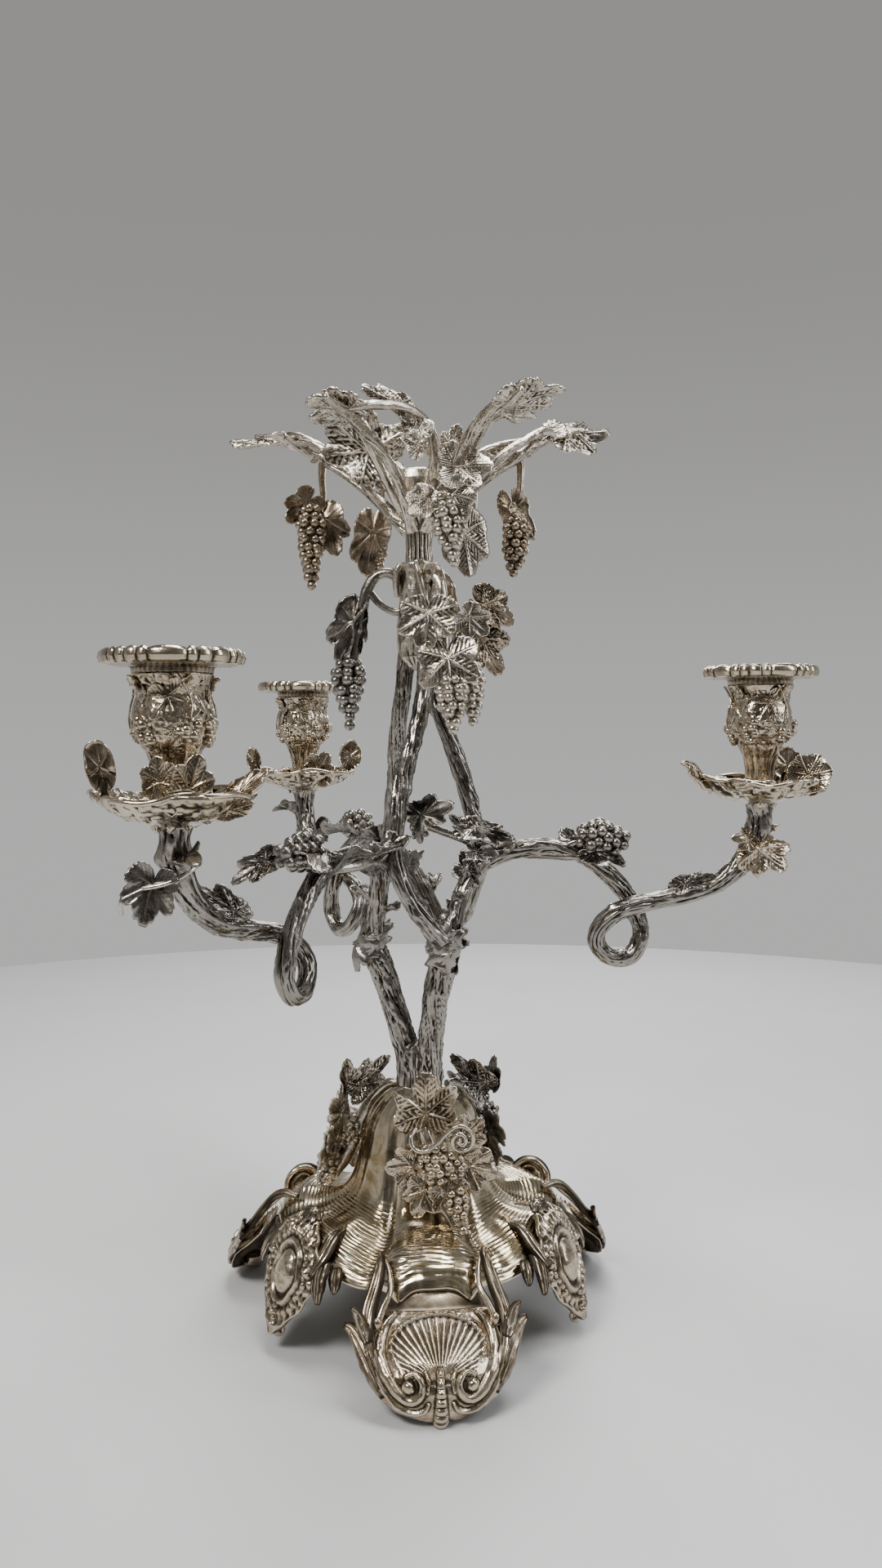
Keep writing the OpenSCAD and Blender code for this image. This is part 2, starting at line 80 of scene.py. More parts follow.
def spline(points, ds):
    """Centripetal-like Catmull-Rom through rows [x, y, z, extra...], resampled every ds."""
    P = np.asarray(points, float)
    n = len(P)
    out = []
    for i in range(n - 1):
        a, b, c, d = P[max(i - 1, 0)], P[i], P[i + 1], P[min(i + 2, n - 1)]
        t = np.linspace(0, 1, 24, endpoint=False)[:, None]
        out.append(0.5 * (2 * b + (c - a) * t + (2 * a - 5 * b + 4 * c - d) * t ** 2 + (3 * b - a - 3 * c + d) * t ** 3))
    out.append(P[-1:])
    Q = np.vstack(out)
    s = np.concatenate([[0], np.cumsum(np.linalg.norm(np.diff(Q[:, :3], axis=0), axis=1))])
    m = max(int(round(s[-1] / ds)), 3) + 1
    sn = np.linspace(0, s[-1], m)
    return np.stack([np.interp(sn, s, Q[:, k]) for k in range(Q.shape[1])], 1), sn

def frames_of(P, up=None):
    T = np.gradient(P, axis=0)
    T /= np.maximum(np.linalg.norm(T, axis=1, keepdims=True), 1e-9)
    U = np.zeros_like(T)
    u = np.array([0, 0, 1.0]) if up is None else np.asarray(up, float)
    if abs(np.dot(u, T[0])) > 0.95:
        u = np.array([1.0, 0, 0])
    for i in range(len(P)):
        u = u - np.dot(u, T[i]) * T[i]
        u = u / max(np.linalg.norm(u), 1e-9)
        U[i] = u
    return T, U, np.cross(T, U)

# ---------------------------------------------------------------- mesh builder
class Geo:
    """Collects vertices (mm) and faces, then becomes one Blender object."""
    def __init__(self):
        self.V, self.F, self.A, self.n = [], [], [], 0
    def add(self, V, F, dark=0.0):
        V = np.asarray(V, float)
        for f in (F if isinstance(F, list) else [F]):
            if len(f):
                self.F.append(np.asarray(f, np.int64) + self.n)
        self.V.append(V)
        # dark is the per-vertex strength of the painted shade (partly tarnish) that make() stores as a vertex
        # attribute.
        d = np.broadcast_to(np.asarray(dark, float), (len(V),)).copy()
        self.A.append(d)
        self.n += len(V)
        return self
    def merge(self, g, M=None):
        V = np.vstack(g.V)
        if M is not None:
            V = V @ np.asarray(M)[:3, :3].T + np.asarray(M)[:3, 3]
        base = self.n
        self.V.append(V)
        for f in g.F:
            ff = f + base
            if M is not None and np.linalg.det(np.asarray(M)[:3, :3]) < 0:
                ff = ff[:, ::-1]
            self.F.append(ff)
        self.A.append(np.concatenate(g.A))
        self.n += len(V)
        return self

def rotz(a):
    a = math.radians(a)
    return np.array([[math.cos(a), -math.sin(a), 0, 0], [math.sin(a), math.cos(a), 0, 0], [0, 0, 1, 0], [0, 0, 0, 1.0]])

def aim(p, d, n, s=1.0):
    """Matrix that puts local +Y along d and +Z near n, at p."""
    y = unit(d)
    n = np.asarray(n, float)
    z = unit(n - np.dot(n, y) * y)
    x = np.cross(y, z)
    M = np.eye(4)
    M[:3, 0], M[:3, 1], M[:3, 2], M[:3, 3] = x * s, y * s, z * s, p
    return M

def cavity(V, faces, radii=(2, 10, 30)):
    """How far each vertex stands proud of (+) or lies below (-) its smoothed neighbourhood, mm."""
    n = len(V)
    E = []
    for f in faces:
        k = f.shape[1]
        for j in range(k):
            E.append(np.stack([f[:, j], f[:, (j + 1) % k]], 1))
    E = np.vstack(E)
    E = np.sort(E, axis=1)
    key = np.unique(E[:, 0] * n + E[:, 1])
    a, b = key // n, key % n
    deg = np.bincount(a, minlength=n) + np.bincount(b, minlength=n)
    deg = np.maximum(deg, 1)[:, None]
    N = np.zeros((n, 3))
    for f in faces:
        A, B, C = V[f[:, 0]], V[f[:, 1]], V[f[:, 2]]
        fn = np.cross(B - A, C - A)
        if f.shape[1] == 4:
            D = V[f[:, 3]]
            fn = np.cross(C - A, D - B)
        for j in range(f.shape[1]):
            for c in range(3):
                N[:, c] += np.bincount(f[:, j], weights=fn[:, c], minlength=n)
    N /= np.maximum(np.linalg.norm(N, axis=1, keepdims=True), 1e-12)
    S = V.copy()
    outs, it = [], 0
    for r in radii:
        while it < r:
            acc = np.stack([np.bincount(a, weights=S[b, c], minlength=n) + np.bincount(b, weights=S[a, c], minlength=n) for c in range(3)], 1)
            S = 0.5 * S + 0.5 * acc / deg
            it += 1
        outs.append(np.einsum('ij,ij->i', V - S, N))
    return outs

def make(name, geo, mat, body, replaces=(), smooth=True, gain=(3.2, 1.7, 0.8)):
    V = np.vstack(geo.V)
    A = np.concatenate(geo.A)
    me = bpy.data.meshes.new(name)
    loops = np.concatenate([f.ravel() for f in geo.F])
    tot = np.concatenate([np.full(len(f), f.shape[1]) for f in geo.F])
    start = np.concatenate([[0], np.cumsum(tot)[:-1]])
    me.vertices.add(len(V))
    me.vertices.foreach_set("co", (V * 0.001).ravel().astype(np.float32))
    me.loops.add(len(loops))
    me.loops.foreach_set("vertex_index", loops.astype(np.int32))
    me.polygons.add(len(tot))
    me.polygons.foreach_set("loop_start", start.astype(np.int32))
    me.polygons.foreach_set("loop_total", tot.astype(np.int32))
    me.update(calc_edges=True)
    me.polygons.foreach_set("use_smooth", np.full(len(tot), smooth))
    # cav measures hollows and ridges; the materials darken the hollows with it: painted shade, partly tarnish.
    c = cavity(V, geo.F)
    prox = sum(np.clip(-ci * g, -1, 1) for ci, g in zip(c, gain))
    cav = np.clip(0.5 + 0.5 * np.clip(prox, -1, 1), 0, 1)
    at = me.attributes.new("cav", 'FLOAT', 'POINT')
    at.data.foreach_set("value", np.clip(cav, 0, 1).astype(np.float32))
    # Per-vertex dark values: painted shade under leaves, on hidden backs, inside grape bunches and in grooves, partly
    # tarnish in the grooves.
    at = me.attributes.new("shade_and_tarnish", 'FLOAT', 'POINT')
    at.data.foreach_set("value", np.clip(A, 0, 1).astype(np.float32))
    ob = bpy.data.objects.new(name, me)
    bpy.context.scene.collection.objects.link(ob)
    me.materials.append(mat)
    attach(ob, body)
    if replaces:
        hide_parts(*replaces)
    return ob

def grid_faces(nu, nv, wrap_v=True, flip=False):
    """Quads of a grid with rows u (nu) and columns v (nv)."""
    i = np.arange(nu - 1)[:, None]
    j = np.arange(nv if wrap_v else nv - 1)[None, :]
    k = (j + 1) % nv
    q = np.stack(np.broadcast_arrays(i * nv + j, (i + 1) * nv + j, (i + 1) * nv + k, i * nv + k), -1).reshape(-1, 4)
    return q[:, ::-1] if flip else q

# ---------------------------------------------------------------- bark
def bark(route, seed=0, ds=1.0, nth=36, amp=0.55, k=1.55, L=16.0, twist=0.02, knots=(), flat=0.0, caps=(True, True), dark=0.0, rough=0.12):
    """Ribbed, knotty vine: rows [x, y, z, radius] swept with long wandering ridges."""
    Q, s = spline(route, ds)
    P, R = Q[:, :3], Q[:, 3]
    T, U, W = frames_of(P)
    th = np.arange(nth) / nth * TAU
    S, TH = np.meshgrid(s, th, indexing='ij')
    ph = TH + twist * S + 0.5 * np.sin(S / 23.0 + seed)
    scale = np.clip(R / 4.9, 0.45, 1.7)[:, None]
    q = np.stack([np.cos(ph) * k * scale ** 0.5, np.sin(ph) * k * scale ** 0.5, S / L], -1)
    n1 = vnoise(q + 11.0 * seed, seed)
    ridge = 1 - np.abs(n1) * 1.9
    n2 = vnoise(q * np.array([2.1, 2.1, 1.6]) + 5.1 * seed, seed + 5)
    ridge2 = 1 - np.abs(n2) * 1.9
    n3 = vnoise(q * np.array([3.4, 3.4, 7.0]), seed + 9)
    lump = vnoise(np.stack([np.cos(ph), np.sin(ph), S / 9.0], -1), seed + 3)
    n4 = vnoise(q * np.array([2.6, 2.6, 1.2]) + 3.3 * seed, seed + 21)
    cut = np.exp(-(n4 / 0.15) ** 2)
    d = amp * scale * (0.95 * ridge + 0.55 * ridge2 - 0.85 - 0.75 * cut) + rough * scale * n3 + 0.38 * scale * lump
    for (ks, ka, kr, kh) in knots:
        sc = ks * s[-1]
        da = np.angle(np.exp(1j * (TH - ka)))
        rr = np.sqrt((S - sc) ** 2 + (da * R[:, None]) ** 2)
        d = d + kh * np.exp(-(rr / kr) ** 2) - 0.25 * kh * np.exp(-(rr / (kr * 0.33)) ** 2)
    RR = R[:, None] * (1 + flat * np.cos(2 * TH)) + d
    V = P[:, None, :] + RR[..., None] * (np.cos(TH)[..., None] * U[:, None, :] + np.sin(TH)[..., None] * W[:, None, :])
    m = len(P)
    V = V.reshape(-1, 3)
    F = [grid_faces(m, nth, True, True)]
    g = Geo()
    tips, tf = [], []
    if caps[0]:
        tips.append(P[0] - T[0] * R[0] * 0.35)
        c = m * nth
        j = np.arange(nth)
        tf.append(np.stack([np.full(nth, c), j, (j + 1) % nth], 1)[:, ::-1])
    if caps[1]:
        tips.append(P[-1] + T[-1] * R[-1] * 0.35)
        c = m * nth + len(tips) - 1
        j = (m - 1) * nth + np.arange(nth)
        tf.append(np.stack([np.full(nth, c), j, (m - 1) * nth + (np.arange(nth) + 1) % nth], 1))
    if tips:
        V = np.vstack([V, np.array(tips)])
    g.add(V, F + tf, dark)
    return g

def wire(route, r=1.0, ds=0.8, nth=12, taper=0.0):
    Q, s = spline([list(p) + [r] for p in route], ds)
    P = Q[:, :3]
    T, U, W = frames_of(P)
    th = np.arange(nth) / nth * TAU
    R = r * (1 - taper * s / s[-1])
    V = P[:, None, :] + R[:, None, None] * (np.cos(th)[None, :, None] * U[:, None, :] + np.sin(th)[None, :, None] * W[:, None, :])
    m = len(P)
    V = np.vstack([V.reshape(-1, 3), P[:1] - T[:1] * r * 0.5, P[-1:] + T[-1:] * r * 0.5])
    j = np.arange(nth)
    F = [grid_faces(m, nth, True, True), np.stack([np.full(nth, m * nth), j, (j + 1) % nth], 1)[:, ::-1],
         np.stack([np.full(nth, m * nth + 1), (m - 1) * nth + j, (m - 1) * nth + (j + 1) % nth], 1)]
    return Geo().add(V, F)

# ---------------------------------------------------------------- leaves
LOBE = np.array([[0, 1.0], [9, 0.975], [18, 0.90], [25, 0.79], [31, 0.71], [37, 0.77], [45, 0.89], [54, 0.94], [63, 0.90], [71, 0.79], [77, 0.71],
                 [83, 0.72], [92, 0.79], [103, 0.81], [115, 0.76], [128, 0.68], [142, 0.60], [155, 0.52], [165, 0.42], [173, 0.27], [180, 0.12]])
VEINS = [0, 53, -53, 107, -107]

def leaf(L=30, seed=0, wide=1.0, cup=0.10, droop=0.18, wave=0.05, thick=1.5, style="vein", na=120, nr=13, fold=0.0, curl=0.0, lobes=1.0, dark_under=0.55, rel=1.0, jag=1.0, rim=0.0):
    """Five-lobed vine leaf, stalk end at the origin, tip along +Y, face towards +Z."""
    rs = np.random.RandomState(seed + 101)
    al = (np.arange(na) + 0.5) / na * 360 - 180
    aa = np.abs(al)
    rho = np.interp(aa, LOBE[:, 0], LOBE[:, 1])
    rho = 0.66 * (1 - lobes) + rho * lobes if lobes < 1 else rho
    rho = rho * (1 + 0.10 * vnoise(np.stack([np.cos(np.radians(al)) * 1.3, np.sin(np.radians(al)) * 1.3, np.full(na, seed * 3.7)], 1), seed))
    teeth = 1 - np.abs(((aa / 11.5 + rs.rand() * 0.6) % 1) * 2 - 1)
    rho = rho * (1 + 0.065 * jag * min(lobes, 1) * (np.sqrt(teeth) - 0.6) * sstep(172, 160, aa))
    if jag > 1:
        rho = rho * (1 + 0.10 * (jag - 1) * vnoise(np.stack([np.cos(np.radians(al)) * 6, np.sin(np.radians(al)) * 6, np.full(na, seed * 1.3)], 1), seed + 8))
    t = (np.linspace(0, 1, nr) ** 0.9)
    t[0] = 0.02
    A, Tt = np.meshgrid(np.radians(al), t)
    RHO = rho[None, :] * Tt
    x = np.sin(A) * RHO * wide
    y = np.cos(A) * RHO
    best = np.full(x.shape, 9.0)
    av = np.zeros_like(x)
    bv = np.zeros_like(x)
    adeg = np.degrees(A)
    for v in VEINS:
        va = math.radians(v)
        along = x / wide * math.sin(va) + y * math.cos(va)
        across = x / wide * math.cos(va) - y * math.sin(va)
        dd = np.abs(np.angle(np.exp(1j * (A - va))))
        pick = dd < best
        best = np.where(pick, dd, best)
        av = np.where(pick, along, av)
        bv = np.where(pick, across, bv)
    main = np.exp(-(bv / (0.024 * (1.25 - 0.6 * Tt))) ** 2) * sstep(0.0, 0.12, av)
    wv = (av - 0.80 * np.abs(bv)) / {"rib": 0.090}.get(style, 0.125)
    ribs = (0.5 + 0.5 * np.cos(TAU * wv)) ** (1 if style == "rib" else 3)
    ribs = ribs * sstep(0.02, 0.07, np.abs(bv)) * sstep(1.0, 0.86, Tt)
    sector = sstep(0.0, 0.50, best)
    soft = style == "smooth"
    h = (0.012 if soft else 0.030) * main + {"vein": 0.014, "rib": 0.026, "grain": 0.015}.get(style, 0.002) * ribs
    h = h - (0.008 if soft else 0.026) * sector * np.sin(np.pi * np.clip(Tt, 0, 1))
    P3 = np.stack([x * 9 + seed, y * 9, np.zeros_like(x) + seed], -1)
    grain = np.abs(vnoise(P3 * (2.0 if style == "grain" else 1.5), seed)) * 2 - 0.6
    h = h + {"vein": 0.005, "rib": 0.0015, "grain": 0.0135}.get(style, 0.002) * grain * sstep(0.0, 0.2, Tt)
    h = h * rel
    if rim:
        h = h + rim * np.exp(-((1 - Tt) / 0.09) ** 2)
    # overall bend
    w = vnoise(np.stack([x * 1.8 + seed * 1.7, y * 1.8, np.zeros_like(x)], -1), seed + 2)
    rim = vnoise(np.stack([np.cos(A) * 2.2, np.sin(A) * 2.2, np.zeros_like(x) + seed], -1), seed + 7)
    z0 = cup * x ** 2 * 2.2 - droop * np.clip(y, 0, 2) ** 2 - 0.4 * droop * np.clip(-y, 0, 1) + wave * w + (wave * 1.6) * rim * Tt ** 2 + fold * np.abs(x)
    z0 = z0 + curl * np.clip(Tt - 0.55, 0, 1) ** 2 * 2.2
    zt = z0 + h
    th = thick * 1.5 / L
    edge = np.sqrt(np.clip(1 - (Tt * 0.999) ** 6, 0, 1))
    top = np.stack([x, y, zt + 0.0 * edge], -1)
    bot = np.stack([x * 0.985, y * 0.985, z0 - th * (0.35 + 0.65 * edge) - 0.75 * h], -1)
    V = np.vstack([top.reshape(-1, 3), bot.reshape(-1, 3), [[0, 0, zt[0].mean()]], [[0, 0, z0[0].mean() - th]]])
    V = (V * np.array([0.90, 1, 1]) + np.array([0, 0.36, 0])) * (L / 1.5)
    n = nr * na
    j = np.arange(na)
    k = (j + 1) % na
    F = [grid_faces(nr, na, True, True), grid_faces(nr, na, True, False) + n,
         np.stack([(nr - 1) * na + j, (nr - 1) * na + k, n + (nr - 1) * na + k, n + (nr - 1) * na + j], 1),
         np.stack([np.full(na, 2 * n), j, k], 1)[:, ::-1], np.stack([np.full(na, 2 * n + 1), n + k, n + j], 1)[:, ::-1]]
    # Underside vertices take dark_under: painted shade under the leaf.
    dk = np.concatenate([np.zeros(n), np.full(n, dark_under), [0], [dark_under]])
    return Geo().add(V, F, dk)

# ---------------------------------------------------------------- grapes
def ico(sub=2):
    t = (1 + 5 ** 0.5) / 2
    v = [(-1, t, 0), (1, t, 0), (-1, -t, 0), (1, -t, 0), (0, -1, t), (0, 1, t), (0, -1, -t), (0, 1, -t), (t, 0, -1), (t, 0, 1), (-t, 0, -1), (-t, 0, 1)]
    f = [(0, 11, 5), (0, 5, 1), (0, 1, 7), (0, 7, 10), (0, 10, 11), (1, 5, 9), (5, 11, 4), (11, 10, 2), (10, 7, 6), (7, 1, 8),
         (3, 9, 4), (3, 4, 2), (3, 2, 6), (3, 6, 8), (3, 8, 9), (4, 9, 5), (2, 4, 11), (6, 2, 10), (8, 6, 7), (9, 8, 1)]
    v = [np.array(p) / np.linalg.norm(p) for p in v]
    for _ in range(sub):
        mid, nf = {}, []
        def m(a, b):
            key = (min(a, b), max(a, b))
            if key not in mid:
                p = v[a] + v[b]
                v.append(p / np.linalg.norm(p))
                mid[key] = len(v) - 1
            return mid[key]
        for a, b, c in f:
            ab, bc, ca = m(a, b), m(b, c), m(c, a)
            nf += [(a, ab, ca), (b, bc, ab), (c, ca, bc), (ab, bc, ca)]
        f = nf
    return np.array(v), np.array(f)
ICO = ico(2)

def grapes(top, axis, length, R, gr, seed=0, prof=None, squash=1.0, face=None):
    """Bunch of grapes: berries packed round a tapering core from top along axis."""
    rs = np.random.RandomState(seed + 11)
    ax = unit(axis)
    u = unit(np.cross(ax, [0.3, 0.9, 0.2]))
    w = np.cross(ax, u)
    g = Geo()
    prof = prof or [(0, 0.62), (0.22, 1.0), (0.5, 0.86), (0.8, 0.48), (1.0, 0.12)]
    px, py = zip(*prof)
    s, k = gr * 0.8, 0
    while s < length:
        t = s / length
        ring = max(np.interp(t, px, py) * R - gr * 0.72, 0)
        cnt = max(int(round(TAU * ring / (gr * 1.98))), 1)
        off = rs.rand() * TAU
        for j in range(cnt):
            a = off + j / cnt * TAU + rs.uniform(-0.12, 0.12)
            r1 = ring * rs.uniform(0.88, 1.14) if cnt > 1 else ring * 0.3
            c = np.asarray(top, float) + ax * (s + rs.uniform(-0.22, 0.22) * gr) + r1 * (math.cos(a) * u + math.sin(a) * w)
            q = gr * rs.uniform(0.88, 1.12)
            V = ICO[0] * q
            out = c - (np.asarray(top, float) + ax * s)
            outd = out / max(np.linalg.norm(out), 1e-6)
            # Inward side of each berry darkened: painted shade between the grapes.
            inner = 0.5 - 0.5 * (ICO[0] @ outd) if cnt > 1 else np.zeros(len(V))
            g.add(V + c, ICO[1], np.clip(inner * 1.9 - 0.55, 0, 1) * 0.9)
        s += gr * 1.58
        k += 1
    # core, fully darkened (1.0): painted shade inside the bunch
    core, _ = spline([list(np.asarray(top, float) + ax * length * t) + [max(np.interp(t, px, py) * R - gr * 1.3, 0.6)] for t in (0, 0.25, 0.5, 0.75, 0.93)], 2.0)
    nth = 12
    T, U, W = frames_of(core[:, :3])
    th = np.arange(nth) / nth * TAU
    V = core[:, None, :3] + core[:, 3][:, None, None] * (np.cos(th)[None, :, None] * U[:, None, :] + np.sin(th)[None, :, None] * W[:, None, :])
    m = len(core)
    j = np.arange(nth)
    V = np.vstack([V.reshape(-1, 3), core[:1, :3], core[-1:, :3]])
    g.add(V, [grid_faces(m, nth, True, True), np.stack([np.full(nth, m * nth), j, (j + 1) % nth], 1)[:, ::-1],
              np.stack([np.full(nth, m * nth + 1), (m - 1) * nth + j, (m - 1) * nth + (j + 1) % nth], 1)], 1.0)
    return g

def ball(c, r, squash=(1, 1, 1), sub=None, dark=0.0, M=None):
    V = ICO[0] * np.asarray(squash) * r
    if M is not None:
        V = V @ np.asarray(M)[:3, :3].T
    return Geo().add(V + np.asarray(c, float), ICO[1], dark)

# ---------------------------------------------------------------- surfaces of revolution with relief
def lathe(profile, nth=120, ds=0.8, relief=None, close=True, a0=0.0):
    """profile rows [r, z]; relief(s, theta, r, z) -> outward displacement in mm."""
    P = np.asarray(profile, float)
    seg = np.linalg.norm(np.diff(P, axis=0), axis=1)
    s = np.concatenate([[0], np.cumsum(seg)])
    m = max(int(s[-1] / ds), len(P)) + 1
    sn = np.unique(np.concatenate([np.linspace(0, s[-1], m), s]))
    r, z = np.interp(sn, s, P[:, 0]), np.interp(sn, s, P[:, 1])
    dr, dz = np.gradient(r, sn), np.gradient(z, sn)
    ln = np.maximum(np.hypot(dr, dz), 1e-9)
    nr_, nz_ = dz / ln, -dr / ln
    th = np.arange(nth) / nth * TAU + a0
    TH, RR = np.meshgrid(th, r)
    ZZ = np.broadcast_to(z[:, None], RR.shape).copy()
    if relief is not None:
        S = np.broadcast_to(sn[:, None], RR.shape)
        d = relief(S, TH, RR, ZZ)
        RR = RR + nr_[:, None] * d
        ZZ = ZZ + nz_[:, None] * d
    V = np.stack([RR * np.cos(TH), RR * np.sin(TH), ZZ], -1).reshape(-1, 3)
    F = [grid_faces(len(sn), nth, True, True)]
    if close:
        i = (len(sn) - 1) * nth
        j = np.arange(nth)
        k = (j + 1) % nth
        F.append(np.stack([i + j, j, k, i + k], 1)[:, ::-1])
    return Geo().add(V, F)

# ---------------------------------------------------------------- ribbed strips (acanthus fronds, scroll bars, petals)
def frond(route, width, normal, thick=2.0, grooves=5, cup=0.15, ds=0.8, nu=25, depth=0.5, dark=0.0, seed=0, edge=0.0, beads=0):
    """Flat or cupped strip along a route [x, y, z] with lengthways grooves; width(t) in mm, t from 0 to 1."""
    Q, s = spline(route, ds)
    T, U, W = frames_of(Q[:, :3], normal)
    n = unit(normal)
    m = len(Q)
    N = n[None, :] - np.sum(T * n, 1, keepdims=True) * T
    N /= np.maximum(np.linalg.norm(N, axis=1, keepdims=True), 1e-6)
    B = np.cross(T, N)
    t = s / s[-1]
    w = np.array([width(x) for x in t])
    u = np.linspace(-1, 1, nu)
    Ug, Tg = np.meshgrid(u, t)
    wg = w[:, None]
    g1 = np.cos(Ug * math.pi * grooves + 0.8 * (1 - Tg) * np.sign(Ug))
    h = depth * (np.abs(g1) ** 0.7 - 0.5) * sstep(0, 0.12, Tg) * sstep(1.0, 0.9, np.abs(Ug))
    h = h + 0.18 * vnoise(np.stack([Ug * 3 + seed, Tg * 9, np.zeros_like(Ug) + seed], -1), seed)
    h = h - cup * wg * Ug ** 2
    wob = 1 + edge * vnoise(np.stack([np.sign(Ug) * 2, Tg * 9 + seed, np.zeros_like(Ug)], -1), seed + 3)
    th = thick * np.sqrt(np.clip(1 - (np.abs(Ug) * 0.999) ** 5, 0, 1)) * (0.35 + 0.65 * np.sqrt(np.clip(1 - Tg ** 8, 0, 1)))
    P = Q[:, None, :3] + (Ug * wg * wob)[..., None] * B[:, None, :]
    top = P + (h + th * 0.5)[..., None] * N[:, None, :]
    bot = P + (-cup * wg * Ug ** 2 - th * 0.5)[..., None] * N[:, None, :]
    a = top.reshape(-1, 3)
    b = bot.reshape(-1, 3)
    k = m * nu
    F = [grid_faces(m, nu, False, False), grid_faces(m, nu, False, True) + k]
    i = np.arange(m - 1)
    F.append(np.stack([i * nu, (i + 1) * nu, k + (i + 1) * nu, k + i * nu], 1)[:, ::-1])
    F.append(np.stack([i * nu + nu - 1, (i + 1) * nu + nu - 1, k + (i + 1) * nu + nu - 1, k + i * nu + nu - 1], 1))
    j = np.arange(nu - 1)
    F.append(np.stack([j, j + 1, k + j + 1, k + j], 1))
    F.append(np.stack([(m - 1) * nu + j, (m - 1) * nu + j + 1, k + (m - 1) * nu + j + 1, k + (m - 1) * nu + j], 1)[:, ::-1])
    return Geo().add(np.vstack([a, b]), F, dark)

def plate(surf, relief, nu, nv, thick=3.0, dark=None):
    """surf(U, V) -> points for U, V in [-1,1] x [0,1]; relief(points grid params) displaced along the normal."""
    u, v = np.linspace(-1, 1, nu), np.linspace(0, 1, nv)
    U, V = np.meshgrid(u, v)
    P = surf(U, V)
    du = np.gradient(P, axis=1)
    dv = np.gradient(P, axis=0)
    N = np.cross(du, dv)
    N /= np.maximum(np.linalg.norm(N, axis=2, keepdims=True), 1e-9)
    h, dk = relief(U, V)
    e = np.clip(1 - np.abs(U), 0, 1)
    f = np.clip(np.minimum(V, 1 - V), 0, 1)
    top = P + N * h[..., None]
    bot = P - N * thick * np.minimum(1, 0.25 + np.minimum(e, f * 2)[..., None] * 8)
    k = nu * nv
    F = [grid_faces(nv, nu, False, True), grid_faces(nv, nu, False, False) + k]
    i = np.arange(nv - 1)
    F.append(np.stack([i * nu, (i + 1) * nu, k + (i + 1) * nu, k + i * nu], 1))
    F.append(np.stack([i * nu + nu - 1, (i + 1) * nu + nu - 1, k + (i + 1) * nu + nu - 1, k + i * nu + nu - 1], 1)[:, ::-1])
    j = np.arange(nu - 1)
    F.append(np.stack([j, j + 1, k + j + 1, k + j], 1)[:, ::-1])
    F.append(np.stack([(nv - 1) * nu + j, (nv - 1) * nu + j + 1, k + (nv - 1) * nu + j + 1, k + (nv - 1) * nu + j], 1))
    g = Geo()
    # The back face gets 0.8 darkness: painted shade on the hidden underside.
    g.add(np.vstack([top.reshape(-1, 3), bot.reshape(-1, 3)]), F, np.concatenate([dk.ravel(), np.full(k, 0.8)]))
    return g

def bump(x, y, cx, cy, rx, ry=None, p=2.0):
    ry = ry or rx
    q = ((x - cx) / rx) ** 2 + ((y - cy) / ry) ** 2
    return np.sqrt(np.clip(1 - q, 0, 1)) if p == 2.0 else np.exp(-q * p)

def ring(x, y, cx, cy, rx, ry, w, squash=1.0):
    q = np.sqrt(((x - cx) / rx) ** 2 + ((y - cy) / ry) ** 2)
    return np.exp(-((q - 1) * min(rx, ry) / w) ** 2)

# ---------------------------------------------------------------- materials
def nodes(mat):
    mat.use_nodes = True
    nt = mat.node_tree
    nt.nodes.clear()
    return nt

